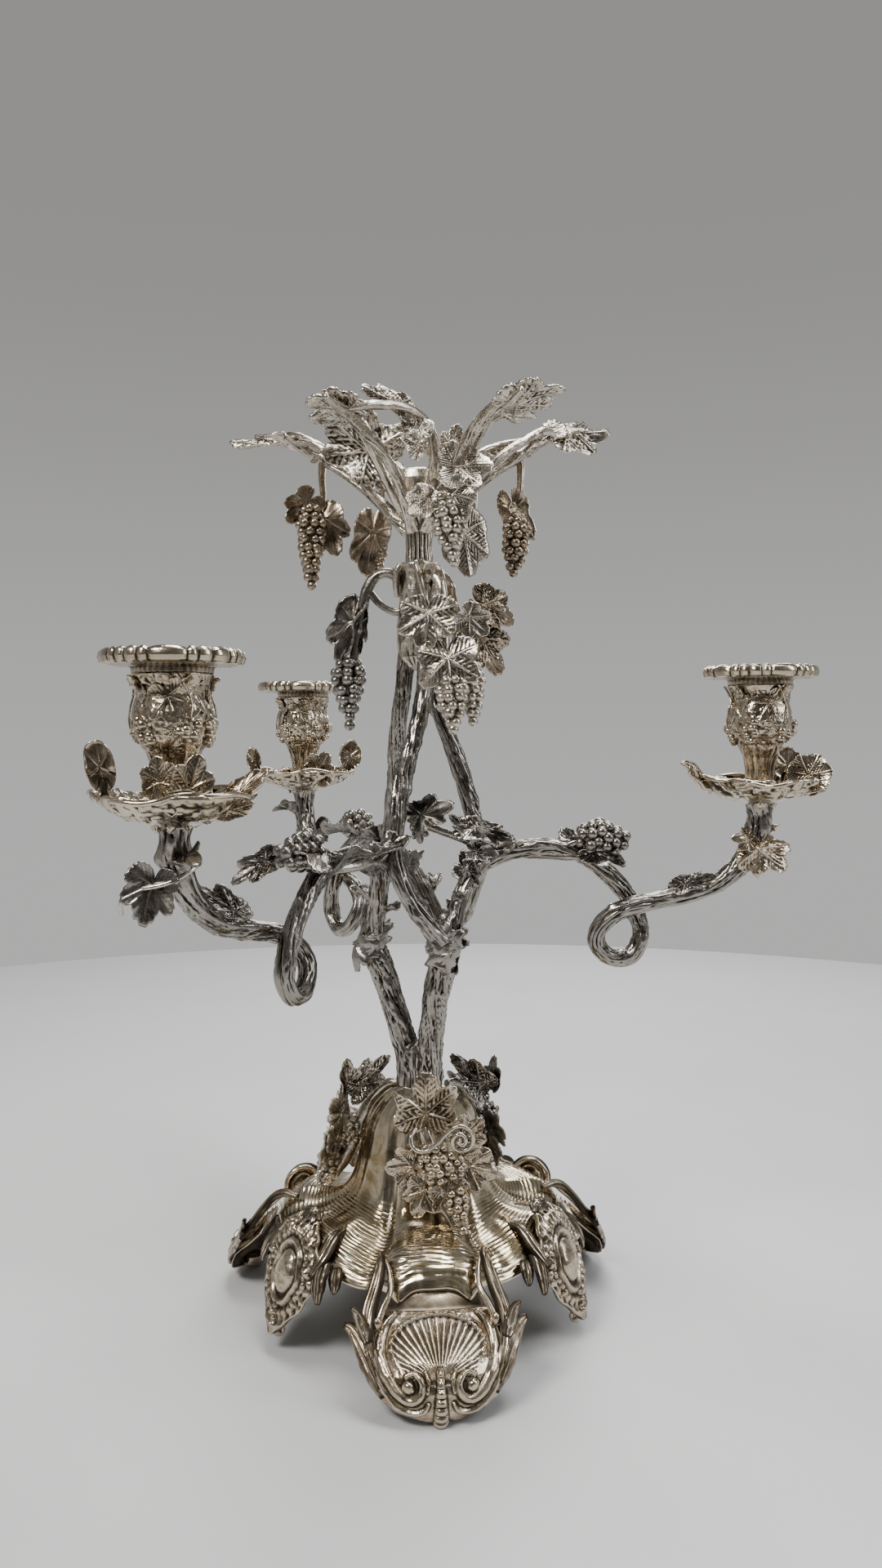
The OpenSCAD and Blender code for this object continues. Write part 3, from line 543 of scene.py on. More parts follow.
def silver(name, hi, mid, warm, deep, r_hi=0.16, r_lo=0.42, warm_amt=0.5, recess=(0.55, 0.90), ridge=(0.46, 0.30), patch=70.0, grain=900.0, grain_h=0.25, streak=(1, 1, 1), deep_amt=0.95, warm_pos=0.5, mottle=0.35):
    mat = bpy.data.materials.new(name)
    nt = nodes(mat)
    N, L = nt.nodes.new, nt.links.new
    out = N("ShaderNodeOutputMaterial")
    b = N("ShaderNodeBsdfPrincipled")
    b.inputs["Metallic"].default_value = 1.0
    L(b.outputs[0], out.inputs[0])
    tc = N("ShaderNodeTexCoord")
    mp = N("ShaderNodeMapping")
    mp.inputs["Scale"].default_value = streak
    L(tc.outputs["Object"], mp.inputs["Vector"])
    def noise(scale, detail=3.0, rough=0.55, dist=0.0):
        n = N("ShaderNodeTexNoise")
        n.inputs["Scale"].default_value = scale
        n.inputs["Detail"].default_value = detail
        n.inputs["Roughness"].default_value = rough
        n.inputs["Distortion"].default_value = dist
        L(mp.outputs[0], n.inputs["Vector"])
        return n.outputs["Fac"]
    def ramp(src, a, c, lo=0.0, hi_=1.0):
        m = N("ShaderNodeMapRange")
        m.interpolation_type = 'SMOOTHSTEP'
        m.inputs["From Min"].default_value = a
        m.inputs["From Max"].default_value = c
        m.inputs["To Min"].default_value = lo
        m.inputs["To Max"].default_value = hi_
        L(src, m.inputs["Value"])
        return m.outputs[0]
    def math_(op, a, c):
        m = N("ShaderNodeMath")
        m.operation = op
        for i, x in enumerate((a, c)):
            if isinstance(x, (int, float)):
                m.inputs[i].default_value = x
            else:
                L(x, m.inputs[i])
        return m.outputs[0]
    def mix(f, a, c):
        m = N("ShaderNodeMix")
        m.data_type = 'RGBA'
        for sock, x in ((m.inputs[0], f), (m.inputs[6], a), (m.inputs[7], c)):
            if isinstance(x, tuple):
                sock.default_value = (*x, 1) if len(x) == 3 else x
            elif isinstance(x, (int, float)):
                sock.default_value = x
            else:
                L(x, sock)
        return m.outputs[2]
    cav = N("ShaderNodeAttribute")
    cav.attribute_name = "cav"
    gr = N("ShaderNodeAttribute")
    gr.attribute_name = "shade_and_tarnish"
    rec = ramp(cav.outputs["Fac"], recess[0], recess[1])
    rid = ramp(cav.outputs["Fac"], ridge[0], ridge[1])
    p1 = ramp(noise(patch, 4.0, 0.6, 0.4), 0.38, 0.64)
    p2 = ramp(noise(patch * 2.3, 4.0, 0.6, 0.8), warm_pos - 0.07, warm_pos + 0.13)
    m1 = noise(patch * 9, 3.0, 0.65)
    c = mix(p1, hi, mid)
    c = mix(math_('MULTIPLY', p2, warm_amt), c, warm)
    c = mix(math_('MULTIPLY', ramp(m1, 0.40, 0.72), mottle), c, tuple(0.45 * x for x in mid))
    # Hollows (cav) and the per-vertex dark attribute pull the colour towards deep: painted shade in hollows, under
    # leaves, on hidden backs and between grapes, partly tarnish in the hollows.
    shade = math_('MAXIMUM', math_('MULTIPLY', rec, deep_amt), gr.outputs["Fac"])
    c = mix(shade, c, deep)
    c = mix(math_('MULTIPLY', rid, 0.6), c, hi)
    L(c, b.inputs["Base Color"])
    rr = math_('ADD', ramp(noise(patch * 3.1, 3.0), 0.3, 0.7, r_hi, (r_hi + r_lo) / 2), math_('MULTIPLY', shade, r_lo - r_hi))
    L(rr, b.inputs["Roughness"])
    bp = N("ShaderNodeBump")
    bp.inputs["Strength"].default_value = 0.35
    bp.inputs["Distance"].default_value = 0.001 * grain_h
    L(noise(grain, 3.0, 0.6), bp.inputs["Height"])
    L(bp.outputs[0], b.inputs["Normal"])
    return mat

# The fourth colour of each material is the deep tone that hollows and dark-marked vertices are pulled to: painted
# shade, partly tarnish.
M_BASE = silver("gilt_silver", (0.70, 0.62, 0.48), (0.46, 0.37, 0.23), (0.30, 0.205, 0.085), (0.06, 0.043, 0.024), r_hi=0.09, r_lo=0.34, warm_amt=0.75, patch=40, mottle=0.12, grain_h=0.08)
M_AGED = silver("aged_silver", (0.60, 0.52, 0.41), (0.275, 0.215, 0.145), (0.29, 0.19, 0.10), (0.030, 0.023, 0.016), r_hi=0.15, r_lo=0.42, warm_amt=0.55, patch=60, mottle=0.2, recess=(0.53, 0.92))
M_DARK = silver("dark_silver", (0.36, 0.335, 0.30), (0.105, 0.097, 0.087), (0.135, 0.105, 0.072), (0.010, 0.009, 0.008), r_hi=0.18, r_lo=0.46, warm_amt=0.5, patch=55, ridge=(0.46, 0.28), deep_amt=0.97, recess=(0.50, 0.80), mottle=0.25)
M_CHAMP = silver("champagne_silver", (0.58, 0.505, 0.40), (0.27, 0.215, 0.15), (0.25, 0.188, 0.115), (0.022, 0.017, 0.012), r_hi=0.12, r_lo=0.42, warm_amt=0.5, patch=65, recess=(0.50, 0.82), mottle=0.2)
M_BRIGHT = silver("bright_silver", (0.63, 0.575, 0.495), (0.28, 0.245, 0.195), (0.20, 0.15, 0.098), (0.017, 0.014, 0.011), r_hi=0.16, r_lo=0.44, warm_amt=0.45, patch=70, grain=1300, grain_h=0.35, recess=(0.50, 0.80), mottle=0.2)
M_BROWN = silver("brown_silver", (0.40, 0.33, 0.25), (0.165, 0.13, 0.092), (0.125, 0.085, 0.05), (0.011, 0.009, 0.007), r_hi=0.18, r_lo=0.48, warm_amt=0.5, patch=70, recess=(0.50, 0.82), mottle=0.2)
M_WIRE = silver("silver_wire", (0.62, 0.57, 0.49), (0.36, 0.32, 0.27), (0.28, 0.21, 0.13), (0.03, 0.027, 0.023), r_hi=0.15, r_lo=0.4, warm_amt=0.35, patch=160)
M_STEEL = silver("steel", (0.50, 0.50, 0.49), (0.30, 0.29, 0.28), (0.26, 0.20, 0.14), (0.05, 0.045, 0.04), r_hi=0.28, r_lo=0.5, warm_amt=0.4, patch=120)

# ---------------------------------------------------------------- camera, light, floor
def set_camera():
    cam = bpy.data.cameras.new("camera")
    ob = bpy.data.objects.new("camera", cam)
    bpy.context.scene.collection.objects.link(ob)
    cam.sensor_width = 36.0
    cam.sensor_fit = 'AUTO'
    cam.lens = 36.0 * 1456.5 / 1920.0
    cam.clip_start, cam.clip_end = 0.02, 50
    f = Vector((0.0838, 0.9956, -0.0419)).normalized()
    r = Vector((0.9965, -0.084, -0.0042))
    r = (r - r.dot(f) * f).normalized()
    u = r.cross(f)
    M = Matrix((r, u, -f)).transposed().to_4x4()
    M.translation = Vector((-0.04397, -0.65911, 0.32015))
    ob.matrix_world = M
    bpy.context.scene.camera = ob

def area(name, loc, target, size, power, colour, size_y=None):
    li = bpy.data.lights.new(name, 'AREA')
    li.shape = 'RECTANGLE'
    li.size, li.size_y = size, size_y or size
    li.energy, li.color = power, colour
    ob = bpy.data.objects.new(name, li)
    bpy.context.scene.collection.objects.link(ob)
    ob.location = loc
    ob.rotation_mode = 'QUATERNION'
    ob.rotation_quaternion = (Vector(target) - Vector(loc)).to_track_quat('-Z', 'Y')

def set_light():
    w = bpy.data.worlds.new("studio")
    bpy.context.scene.world = w
    w.use_nodes = True
    nt = w.node_tree
    nt.nodes.clear()
    N, L = nt.nodes.new, nt.links.new
    out, bg, tc, sep = N("ShaderNodeOutputWorld"), N("ShaderNodeBackground"), N("ShaderNodeTexCoord"), N("ShaderNodeSeparateXYZ")
    L(tc.outputs["Generated"], sep.inputs[0])
    def rng(src, a, b, lo, hi):
        m = N("ShaderNodeMapRange")
        m.interpolation_type = 'SMOOTHSTEP'
        for k, v in (("From Min", a), ("From Max", b), ("To Min", lo), ("To Max", hi)):
            m.inputs[k].default_value = v
        L(src, m.inputs["Value"])
        return m.outputs[0]
    def mixc(f, a, b):
        m = N("ShaderNodeMix")
        m.data_type = 'RGBA'
        for sock, x in ((m.inputs[0], f), (m.inputs[6], a), (m.inputs[7], b)):
            if isinstance(x, tuple):
                sock.default_value = (*x, 1)
            else:
                L(x, sock)
        return m.outputs[2]
    z, y = sep.outputs["Z"], sep.outputs["Y"]
    room = mixc(rng(z, -0.02, 0.45, 0.0, 1.0), (0.50, 0.49, 0.475), (0.24, 0.238, 0.232))
    room = mixc(rng(y, -0.95, 0.10, 1.0, 0.0), room, (0.075, 0.071, 0.067))
    nz = N("ShaderNodeTexNoise")
    nz.inputs["Scale"].default_value = 2.2
    nz.inputs["Detail"].default_value = 1.0
    L(tc.outputs["Generated"], nz.inputs["Vector"])
    room = mixc(rng(nz.outputs["Fac"], 0.50, 0.62, 0.0, 0.55), room, (0.46, 0.45, 0.43))
    room = mixc(rng(z, 0.35, 0.85, 0.0, 1.0), room, (0.20, 0.20, 0.196))
    seen = mixc(rng(z, -0.12, 0.42, 0.0, 1.0), (0.52, 0.52, 0.515), (0.30, 0.295, 0.285))
    lp = N("ShaderNodeLightPath")
    L(mixc(lp.outputs["Is Camera Ray"], room, seen), bg.inputs["Color"])
    bg.inputs["Strength"].default_value = 1.0
    L(bg.outputs[0], out.inputs[0])
    area("key", (-0.70, -0.75, 1.25), (0, 0, 0.2), 0.55, 17, (1.0, 0.97, 0.93), 0.35)
    area("fill", (0.95, -0.45, 0.85), (0, 0, 0.2), 0.30, 5, (0.95, 0.97, 1.0), 0.8)
    area("top", (0.15, 0.10, 1.45), (0, 0, 0.2), 1.2, 18, (1.0, 0.99, 0.97), 0.35)
    area("back", (0.35, 1.15, 0.8), (0, 0, 0.25), 0.8, 8, (1.0, 1.0, 1.0), 0.4)

def set_floor():
    me = bpy.data.meshes.new("floor")
    me.from_pydata([(1.15 * math.cos(k * TAU / 96), 1.15 * math.sin(k * TAU / 96), -0.0006) for k in range(96)], [], [tuple(range(96))])
    ob = bpy.data.objects.new("floor", me)
    bpy.context.scene.collection.objects.link(ob)
    mat = bpy.data.materials.new("floor")
    nt = nodes(mat)
    N, L = nt.nodes.new, nt.links.new
    out, b, n, r, tc = N("ShaderNodeOutputMaterial"), N("ShaderNodeBsdfPrincipled"), N("ShaderNodeTexNoise"), N("ShaderNodeMapRange"), N("ShaderNodeTexCoord")
    L(tc.outputs["Object"], n.inputs["Vector"])
    n.inputs["Scale"].default_value = 9
    m = N("ShaderNodeMix")
    m.data_type = 'RGBA'
    m.inputs[6].default_value = (0.60, 0.61, 0.62, 1)
    m.inputs[7].default_value = (0.66, 0.665, 0.67, 1)
    L(n.outputs["Fac"], m.inputs[0])
    L(m.outputs[2], b.inputs["Base Color"])
    b.inputs["Roughness"].default_value = 0.55
    L(b.outputs[0], out.inputs[0])
    me.materials.append(mat)

set_camera()
set_light()
set_floor()

# ---------------------------------------------------------------- base
H0 = 121.6
S_R = np.array([4, 11, 17, 24, 29.5, 33, 36, 40, 48, 58, 68, 76, 81.0])
S_Z = np.array([.4, 0, -1.1, -6.6, -15.6, -28.6, -41.6, -52.6, -62, -68.6, -72.6, -75.6, -79.6])
S_H = np.array([0, 0, 0, 0, 0, 0, 0, .5, 4, 8.5, 12.2, 10.5, 6.8])
S_B = np.array([0, 0, 0, 0, 0, 0, 0, .5, 4, 8.5, 12, 9, 3.0])

def skirt(t, A):
    """Base surface before fine relief; t is the row along the profile, A the azimuth in degrees."""
    r, z, hd, bw = (np.interp(t, T_FINE, row) for row in FINE)
    c = np.cos(3 * np.radians(A + 90))
    dd = np.abs(((A + 90 + 60) % 120) - 60)
    h = 0.35 * ((1 + c) / 2) ** 3 + 0.65 * (1 - sstep(11.0, 27.0, dd))
    b = ((1 - c) / 2) ** 2.2
    return r + 5.0 * h * sstep(9.6, 12, t), z + H0 + hd * h + bw * b

def _fine():
    rows, _ = spline(np.stack([S_R, S_Z, np.zeros(13), S_H, S_B, np.arange(13.0)], 1), 0.5)
    T = rows[:, 5]
    return T, (rows[:, 0], rows[:, 1], rows[:, 3], rows[:, 4])
T_FINE, FINE = _fine()

def skirt_point(r, A):
    """World point on the base skin at radius r and azimuth A."""
    t = np.interp(r, FINE[0], T_FINE)
    rr, z = skirt(t, A)
    return np.array(pol(float(rr), A, float(z)))

def build_base():
    nth = 480
    ln = np.concatenate([[0], np.cumsum(np.hypot(np.diff(FINE[0]), np.diff(FINE[1])))])
    top = np.concatenate([np.linspace(0, 58, 34, endpoint=False), np.linspace(58, ln[-1], 88)])
    t = np.interp(top, ln, T_FINE)
    A = np.arange(nth) / nth * 360.0
    AG, TG = np.meshgrid(A, t)
    SG = np.broadcast_to(top[:, None], AG.shape)
    R, Z = skirt(TG, AG)
    d = ((AG + 90 + 60) % 120) - 60            # angle from the nearest hood centre
    ad = np.abs(d)
    # rim: two drooping corner points and an arch between them on every hood
    rimw = np.clip((TG - 10.6) / 1.4, 0, 1)
    edge = np.interp(ad, [0, 4, 7.5, 9.5, 11.2, 13, 15.5, 18.5, 22, 27, 60], [-2.0, -2.3, -3.6, -5.6, -7.4, -6.6, -3.5, -1.0, 0.5, 0, 0])
    Z = Z + rimw ** 1.6 * edge
    R = R + rimw ** 2 * (1.0 * np.exp(-(ad / 6) ** 2) + 3.4 * np.exp(-((ad - 11.5) / 3) ** 2))
    # scalloped fan edge
    Z = Z + rimw ** 2 * 1.6 * np.cos(np.radians(ad * 9)) * sstep(24, 32, ad)
    X, Y = R * np.cos(np.radians(AG)), R * np.sin(np.radians(AG))
    P = np.stack([X, Y, Z], -1)
    du = np.roll(P, -1, 1) - np.roll(P, 1, 1)
    dv = np.gradient(P, axis=0)
    Nn = np.cross(dv, du)
    Nn /= np.maximum(np.linalg.norm(Nn, axis=2, keepdims=True), 1e-9)
    Nn *= np.sign(np.sum(Nn * np.stack([np.cos(np.radians(AG)), np.sin(np.radians(AG)), np.full_like(AG, 0.6)], -1), 2, keepdims=True))
    # soft creases between hoods and fans, running up the dome
    cpos = np.interp(SG, [0, 40, 75, 95, 130], [34, 32, 28, 24, 22.5])
    groove = -np.interp(SG, [0, 22, 55, 80, 110, 130], [0, .5, 1.2, 2.2, 1.6, .6]) * np.exp(-((ad - cpos) / np.interp(SG, [0, 50, 90, 130], [9, 6, 3.6, 3])) ** 2)
    swell = np.interp(SG, [0, 30, 70, 100], [0, .7, 1.2, 0.0]) * np.exp(-((ad - cpos * 0.5) / 9) ** 2)
    swell = swell + np.interp(SG, [0, 30, 70, 90], [0, .35, .5, 0]) * np.cos(np.radians(d * 18))
    # ripples that follow the rim
    q = np.stack([R * np.cos(np.radians(AG)) / 17, R * np.sin(np.radians(AG)) / 17, SG / 26], -1)
    wob = 2.3 * fbm(q, 3, 2)
    ph = (SG + wob + 2.2 * np.exp(-(ad / 8) ** 2)) / 2.35
    saw = np.abs(((ph % 1) - 0.5) * 2)
    rip = (saw ** 0.8 - 0.5)
    amp = 0.50 * sstep(66, 82, SG) * sstep(18, 25, ad) + (0.95 + 0.35 * sstep(108, 122, SG)) * sstep(84, 98, SG) * (1 - sstep(18, 25, ad)) * (0.45 + 0.55 * sstep(-0.45, 0.2, vnoise(q * 1.6, 8)))
    amp = amp * (0.75 + 0.5 * vnoise(q * 2.3, 12)) * sstep(ln[-1], ln[-1] - 1.5, SG)
    radial = 0.18 * np.cos(np.radians(ad * 30)) * sstep(78, 92, SG) * sstep(26, 34, ad)
    dents = 0.25 * fbm(P / 24.0, 21, 2) + 0.05 * vnoise(P / 5.0, 4)
    D = groove + swell + amp * rip * 1.5 + radial + dents
    Ptop = P + Nn * D[..., None]
    rim_roll = np.clip((SG - ln[-1] + 2.0) / 2.0, 0, 1)
    Ptop = Ptop - Nn * (rim_roll ** 2 * 0.8)[..., None]
    pick = np.unique(np.concatenate([np.arange(0, len(t), 4), [len(t) - 1]]))[::-1]
    Pb = P[pick] - Nn[pick] * 2.1
    Pb[0] = P[-1] - Nn[-1] * 1.4
    V = np.vstack([Ptop.reshape(-1, 3), Pb.reshape(-1, 3)])
    n = len(t)
    F = [grid_faces(n + len(pick), nth, True, False)]
    i, j = (n + len(pick) - 1) * nth, np.arange(nth)
    F.append(np.stack([i + j, j, (j + 1) % nth, i + (j + 1) % nth], 1))
    # Back rows (inside of the shell) get 0.75 darkness: painted shade under the base.
    dk = np.concatenate([np.zeros(n * nth), np.full(len(pick) * nth, 0.75)])
    g = Geo().add(V, F, dk)
    make("base_skin", g, M_BASE, "stand", ("base_body",), gain=(5, 1.2, 0.35))

# ---------------------------------------------------------------- shell feet
FOOT = np.array([[119.8, 1.0, 0, 7], [121.0, 2.6, 1.6, 14], [122.0, 4.8, 3.8, 20.5], [122.8, 9, 8.2, 27.5], [122.2, 15, 14.2, 31.5], [120, 21.5, 21.1, 33], [115.5, 27, 28.2, 33.5], [107.5, 32.5, 37.9, 33], [99.5, 37.5, 47.3, 31.5], [95.2, 40.3, 53.0, 28], [92.6, 40.9, 56.0, 24.5]])

def foot_surf(U, V):
    """Lateral U in [-1,1], V from the toe (0) to the top rim (1), in the foot's own frame [radial, tangential, z]."""
    k = V * (len(FOOT) - 1)
    ix = np.arange(len(FOOT))
    r, z, hw = np.interp(k, ix, FOOT[:, 0]), np.interp(k, ix, FOOT[:, 1]), np.interp(k, ix, FOOT[:, 3])
    y = U * hw
    crown = 2.2 - (12.0 - 5.0 * sstep(0.55, 1.0, V)) * (np.abs(y) / 33.0) ** 2.2
    r = r + crown - 1.5 * np.abs(U) ** 4
    z = np.maximum(z - 3.5 * sstep(0.35, 0.7, V) * (y / 33.0) ** 2, 0.4)
    return np.stack([r, y, z], -1)

def foot_relief(U, V):
    k = V * (len(FOOT) - 1)
    ix = np.arange(len(FOOT))
    sl, hw = np.interp(k, ix, FOOT[:, 2]), np.interp(k, ix, FOOT[:, 3])
    x, y = U * hw, sl                      # mm across and up the slant
    h = np.zeros_like(x)
    dk = np.zeros_like(x)
    # fan dish, ribs meeting low in the middle
    cx, cy = 0.0, 35.5
    Rx, Ry = 22.0, 17.5
    rr = np.hypot((x - cx) / Rx, (y - cy) / Ry)
    inside = sstep(1.02, 0.94, rr)
    ang = np.arctan2(x, y - 20.0)
    rad = np.hypot(x, y - 20.0)
    rib = np.cos(ang * 50.0)
    ra = np.clip(rad / 24.0, 0, 1.2)
    h += inside * (-2.2 + 1.5 * rr ** 2 + 0.42 * rib * sstep(0.12, 0.5, ra))
    # Dark between the ribs and round the upper rim of the dish: painted shade in the grooves, partly tarnish.
    dk += inside * (0.16 * sstep(-0.1, -0.9, rib) * sstep(0.15, 0.5, ra) + 0.35 * sstep(0.75, 1.0, rr) * sstep(36, 50, y))
    # beaded edge of the fan
    edge = np.exp(-((rr - 1.0) * 19 / 0.9) ** 2) * sstep(26, 32, y)
    h += edge * (0.8 + 0.5 * np.cos(ang * 50))
    # Dark groove just inside the beaded edge: painted shade, partly tarnish.
    dk += 0.4 * np.exp(-((rr - 0.915) * 19 / 0.7) ** 2) * sstep(26, 32, y)
    # smooth crescents that run down both sides and curl into volutes; outer frame and small hooks
    def stroke(pts, H, seat=0.0):
        Q, _ = spline([[a, b, 0, w] for a, b, w in pts], 0.5)
        best = np.full(x.shape, 9.0)
        near = np.full(x.shape, 99.0)
        for px, py, _z, w in Q:
            dd = np.hypot(np.abs(x) - px, y - py)
            best = np.minimum(best, dd / w)
            near = np.minimum(near, dd - w)
        return H * np.sqrt(np.clip(1 - best ** 2, 0, 1)), np.exp(-((near - 0.35) / 0.45) ** 2)
    for pts, H, k2 in (([(19.5, 53.0, 0.9), (24.6, 47, 1.9), (27.4, 39, 2.6), (28.0, 31, 2.9), (25.6, 22.5, 2.9), (20.5, 15.0, 2.7), (14.6, 11.6, 2.3), (9.6, 14.0, 2.0), (8.6, 19.5, 1.7), (12.0, 23.3, 1.4), (15.8, 22.0, 1.2)], 2.6, 0.55),
                       ([(15.0, 17.9, 2.9), (15.0, 17.2, 2.9)], 3.0, 0.4),
                       ([(31.3, 46, 0.9), (32.0, 36, 1.3), (30.6, 25, 1.6), (26.6, 15.5, 1.7), (20.6, 8.4, 1.7), (13.6, 6.0, 1.5), (8.0, 7.4, 1.2), (5.8, 10.5, 0.9)], 1.9, 0.5),
                       ([(6.2, 15.5, 1.0), (5.6, 20, 1.0), (7.0, 24.5, 0.8)], 1.5, 0.4)):
        a, b = stroke(pts, H)
        clear = sstep(0.0, 0.5, a)
        h = h * (1 - clear) + np.maximum(h, a) * clear
        # Dark outline round each raised stroke: painted shade in the crevice, partly tarnish.
        dk = dk * (1 - clear) + k2 * b * (1 - clear)
    # graduated bead strip
    wb = np.interp(y, [0, 27], [3.9, 1.5])
    strip = np.sqrt(np.clip(1 - (x / wb) ** 2, 0, 1)) * sstep(27, 25.6, y)
    pos = 7.0 * np.interp(y, [0, 26], [0, 1]) ** 0.85
    bead = np.abs(np.sin(math.pi * (pos + 0.05)))
    h += strip * (1.2 + 1.9 * np.sqrt(bead))
    # Dark gaps between the beads and along the strip edges: painted shade, partly tarnish.
    dk += 0.75 * strip * sstep(0.35, 0.05, bead)
    dk += 0.45 * np.exp(-((np.abs(x) - wb - 0.15) / 0.4) ** 2) * sstep(25.5, 22, y)
    # lip at the bottom, soft wear
    h += 0.22 * vnoise(np.stack([x / 4, y / 4, np.zeros_like(x)], -1), 5) + 0.08 * vnoise(np.stack([x / 1.3, y / 1.3, np.zeros_like(x)], -1), 6)
    e = np.clip(1 - np.abs(U), 0, 1) * hw
    h = h * sstep(0, 1.8, e) * sstep(0, 0.02, V) + 0.0
    return h, np.clip(dk, 0, 0.85)

def arc(points):
    return [list(p) for p in points]

def build_foot(az, name, node, seed):
    g = Geo()
    g.merge(plate(foot_surf, foot_relief, 181, 131, 3.0))
    # concave mouth panel between the arch of the hood and the top of the shell
    def mouth(U, V):
        y = U * (24.5 - 1.5 * V)
        r = 94.0 - 10.5 * V - 2.6 * np.sin(math.pi * V) - 8.0 * U ** 2
        z = 40.4 + 7.8 * V - 4.6 * np.abs(U) ** 3
        return np.stack([r, y, z], -1)
    # The mouth panel is darkened, most towards its lower outer edge under the hood arch: painted shade in the recess.
    g.merge(plate(mouth, lambda U, V: (0.5 * np.exp(-((V - 0.97) / 0.04) ** 2) + 0.1 * vnoise(np.stack([U * 5, V * 5, U * 0], -1), 3), 0.25 + 0.6 * sstep(0.55, 0.0, V)), 61, 25, 1.5))
    for sx in (-1, 1):
        # C-scroll rising from the crescents to the hood crease
        g.merge(frond([[112, sx * 30.0, 22], [103.5, sx * 33.5, 33], [95.5, sx * 32.8, 42], [90, sx * 29.6, 50], [84, sx * 27.0, 56.5], [76.5, sx * 26, 59], [68, sx * 26, 58.0]],
                      lambda t: 1.0 + 2.7 * math.sin(math.pi * min(t * 0.95 + 0.05, 1)) ** 0.8, [0.72, sx * 0.45, 0.60], 3.2, 1, 0.30, nu=23, depth=0.75, seed=seed, edge=0.05))
        g.merge(wire([[99, sx * 28.2, 38.5], [95.0, sx * 25.6, 43.5], [91.5, sx * 22.8, 47.5], [88, sx * 21.6, 50.5], [82.5, sx * 22.2, 55], [76, sx * 24, 58.5]], 1.9, taper=0.35))
        g.merge(ball([99.5, sx * 28.6, 37.5], 2.5, (1, 1, 1.4)))
        # leaf wing that stands off the side
        g.merge(frond([[117.5, sx * 25.5, 12], [113, sx * 30.5, 20], [107, sx * 34.5, 27], [102, sx * 37.8, 32], [98.5, sx * 41.2, 35.5], [96.5, sx * 44.5, 36.5]],
                      lambda t: 0.8 + 4.8 * math.sin(math.pi * min(0.10 + t * 0.86, 1)) ** 0.8, [0.9, sx * 0.45, 0.35], 2.4, 1.5, 0.16, nu=27, depth=0.65, seed=seed + 2, edge=0.10))
        g.merge(frond([[106, sx * 33.0, 31.5], [101.5, sx * 36.0, 37], [98.5, sx * 38.0, 42], [97, sx * 41.0, 45]],
                      lambda t: 0.8 + 3.0 * math.sin(math.pi * min(0.2 + t * 0.8, 1)), [0.9, sx * 0.45, 0.2], 2.0, 1, 0.18, nu=19, depth=0.5, seed=seed + 3, edge=0.10))
        g.merge(frond([[116, sx * 28, 15], [110, sx * 32.5, 24], [103, sx * 34.5, 33], [97.5, sx * 34.5, 39]],
                      lambda t: 0.8 + 2.0 * math.sin(math.pi * min(0.1 + t * 0.9, 1)), [0.9, sx * 0.6, 0.3], 2.4, 1, 0.2, nu=17, depth=0.5, seed=seed + 6, edge=0.06))
    g2 = Geo().merge(g, rotz(az))
    for v in g2.V:
        v[:, 2] = np.maximum(v[:, 2], 0.05)
        if az != -90:
            v[:, :2] *= 0.968
    if az != -90:
        # upturned lip of the hood beside the foot
        sx = 1 if az == 30 else -1
        lip = [[sx * 78.0, 40, 45], [sx * 77.5, 41.5, 55.5], [sx * 71.5, 43.5, 62.0], [sx * 64.5, 45.5, 61.5], [sx * 59.5, 47.5, 55.5], [sx * 57.5, 48, 49]]
        g2.merge(wire(lip, 1.5, ds=0.8))
        lip2 = [[sx * (67.5 + 0.72 * (abs(x) - 67.5)), y + 1.5, 50 + 0.72 * (z - 50)] for x, y, z in lip]
        g2.merge(frond(lip2, lambda t: 5.4, [-0.25, -0.9, 0.35], 2.2, 2, 0.5, nu=21, depth=0.5, seed=seed + 9, edge=0.04))
    # floor pad under the toe
    pad = lathe([[0.2, 0.05], [5.2, 0.05], [5.8, 0.8], [5.6, 6.0], [0.2, 6.0]], 32, 1.0)
    M = rotz(az).copy()
    M[:3, 3] = pol(114, az, 0)
    g2.merge(pad, M)
    make(name, g2, M_AGED, "stand", (node,), gain=(5, 1.6, 0.55))

# ---------------------------------------------------------------- scroll mounts (kite cartouches between the feet)
KITE = np.array([[92.5, 9.5, 0, 1.5], [91.5, 13, 4, 5], [89, 20, 12, 13], [86, 29.5, 22, 21.5], [82.5, 41, 34, 25.5], [79, 50, 44, 23.5], [75, 58.5, 53, 17.5], [70, 64, 60, 11], [66, 66, 64, 5]])

def kite_surf(U, V):
    k = V * (len(KITE) - 1)
    ix = np.arange(len(KITE))
    r, z, hw = np.interp(k, ix, KITE[:, 0]), np.interp(k, ix, KITE[:, 1]), np.interp(k, ix, KITE[:, 3])
    y = U * hw * (1 + 0.05 * np.cos(V * 40))
    return np.stack([r + 3.5 * (1 - (y / 26.0) ** 2), y, z], -1)

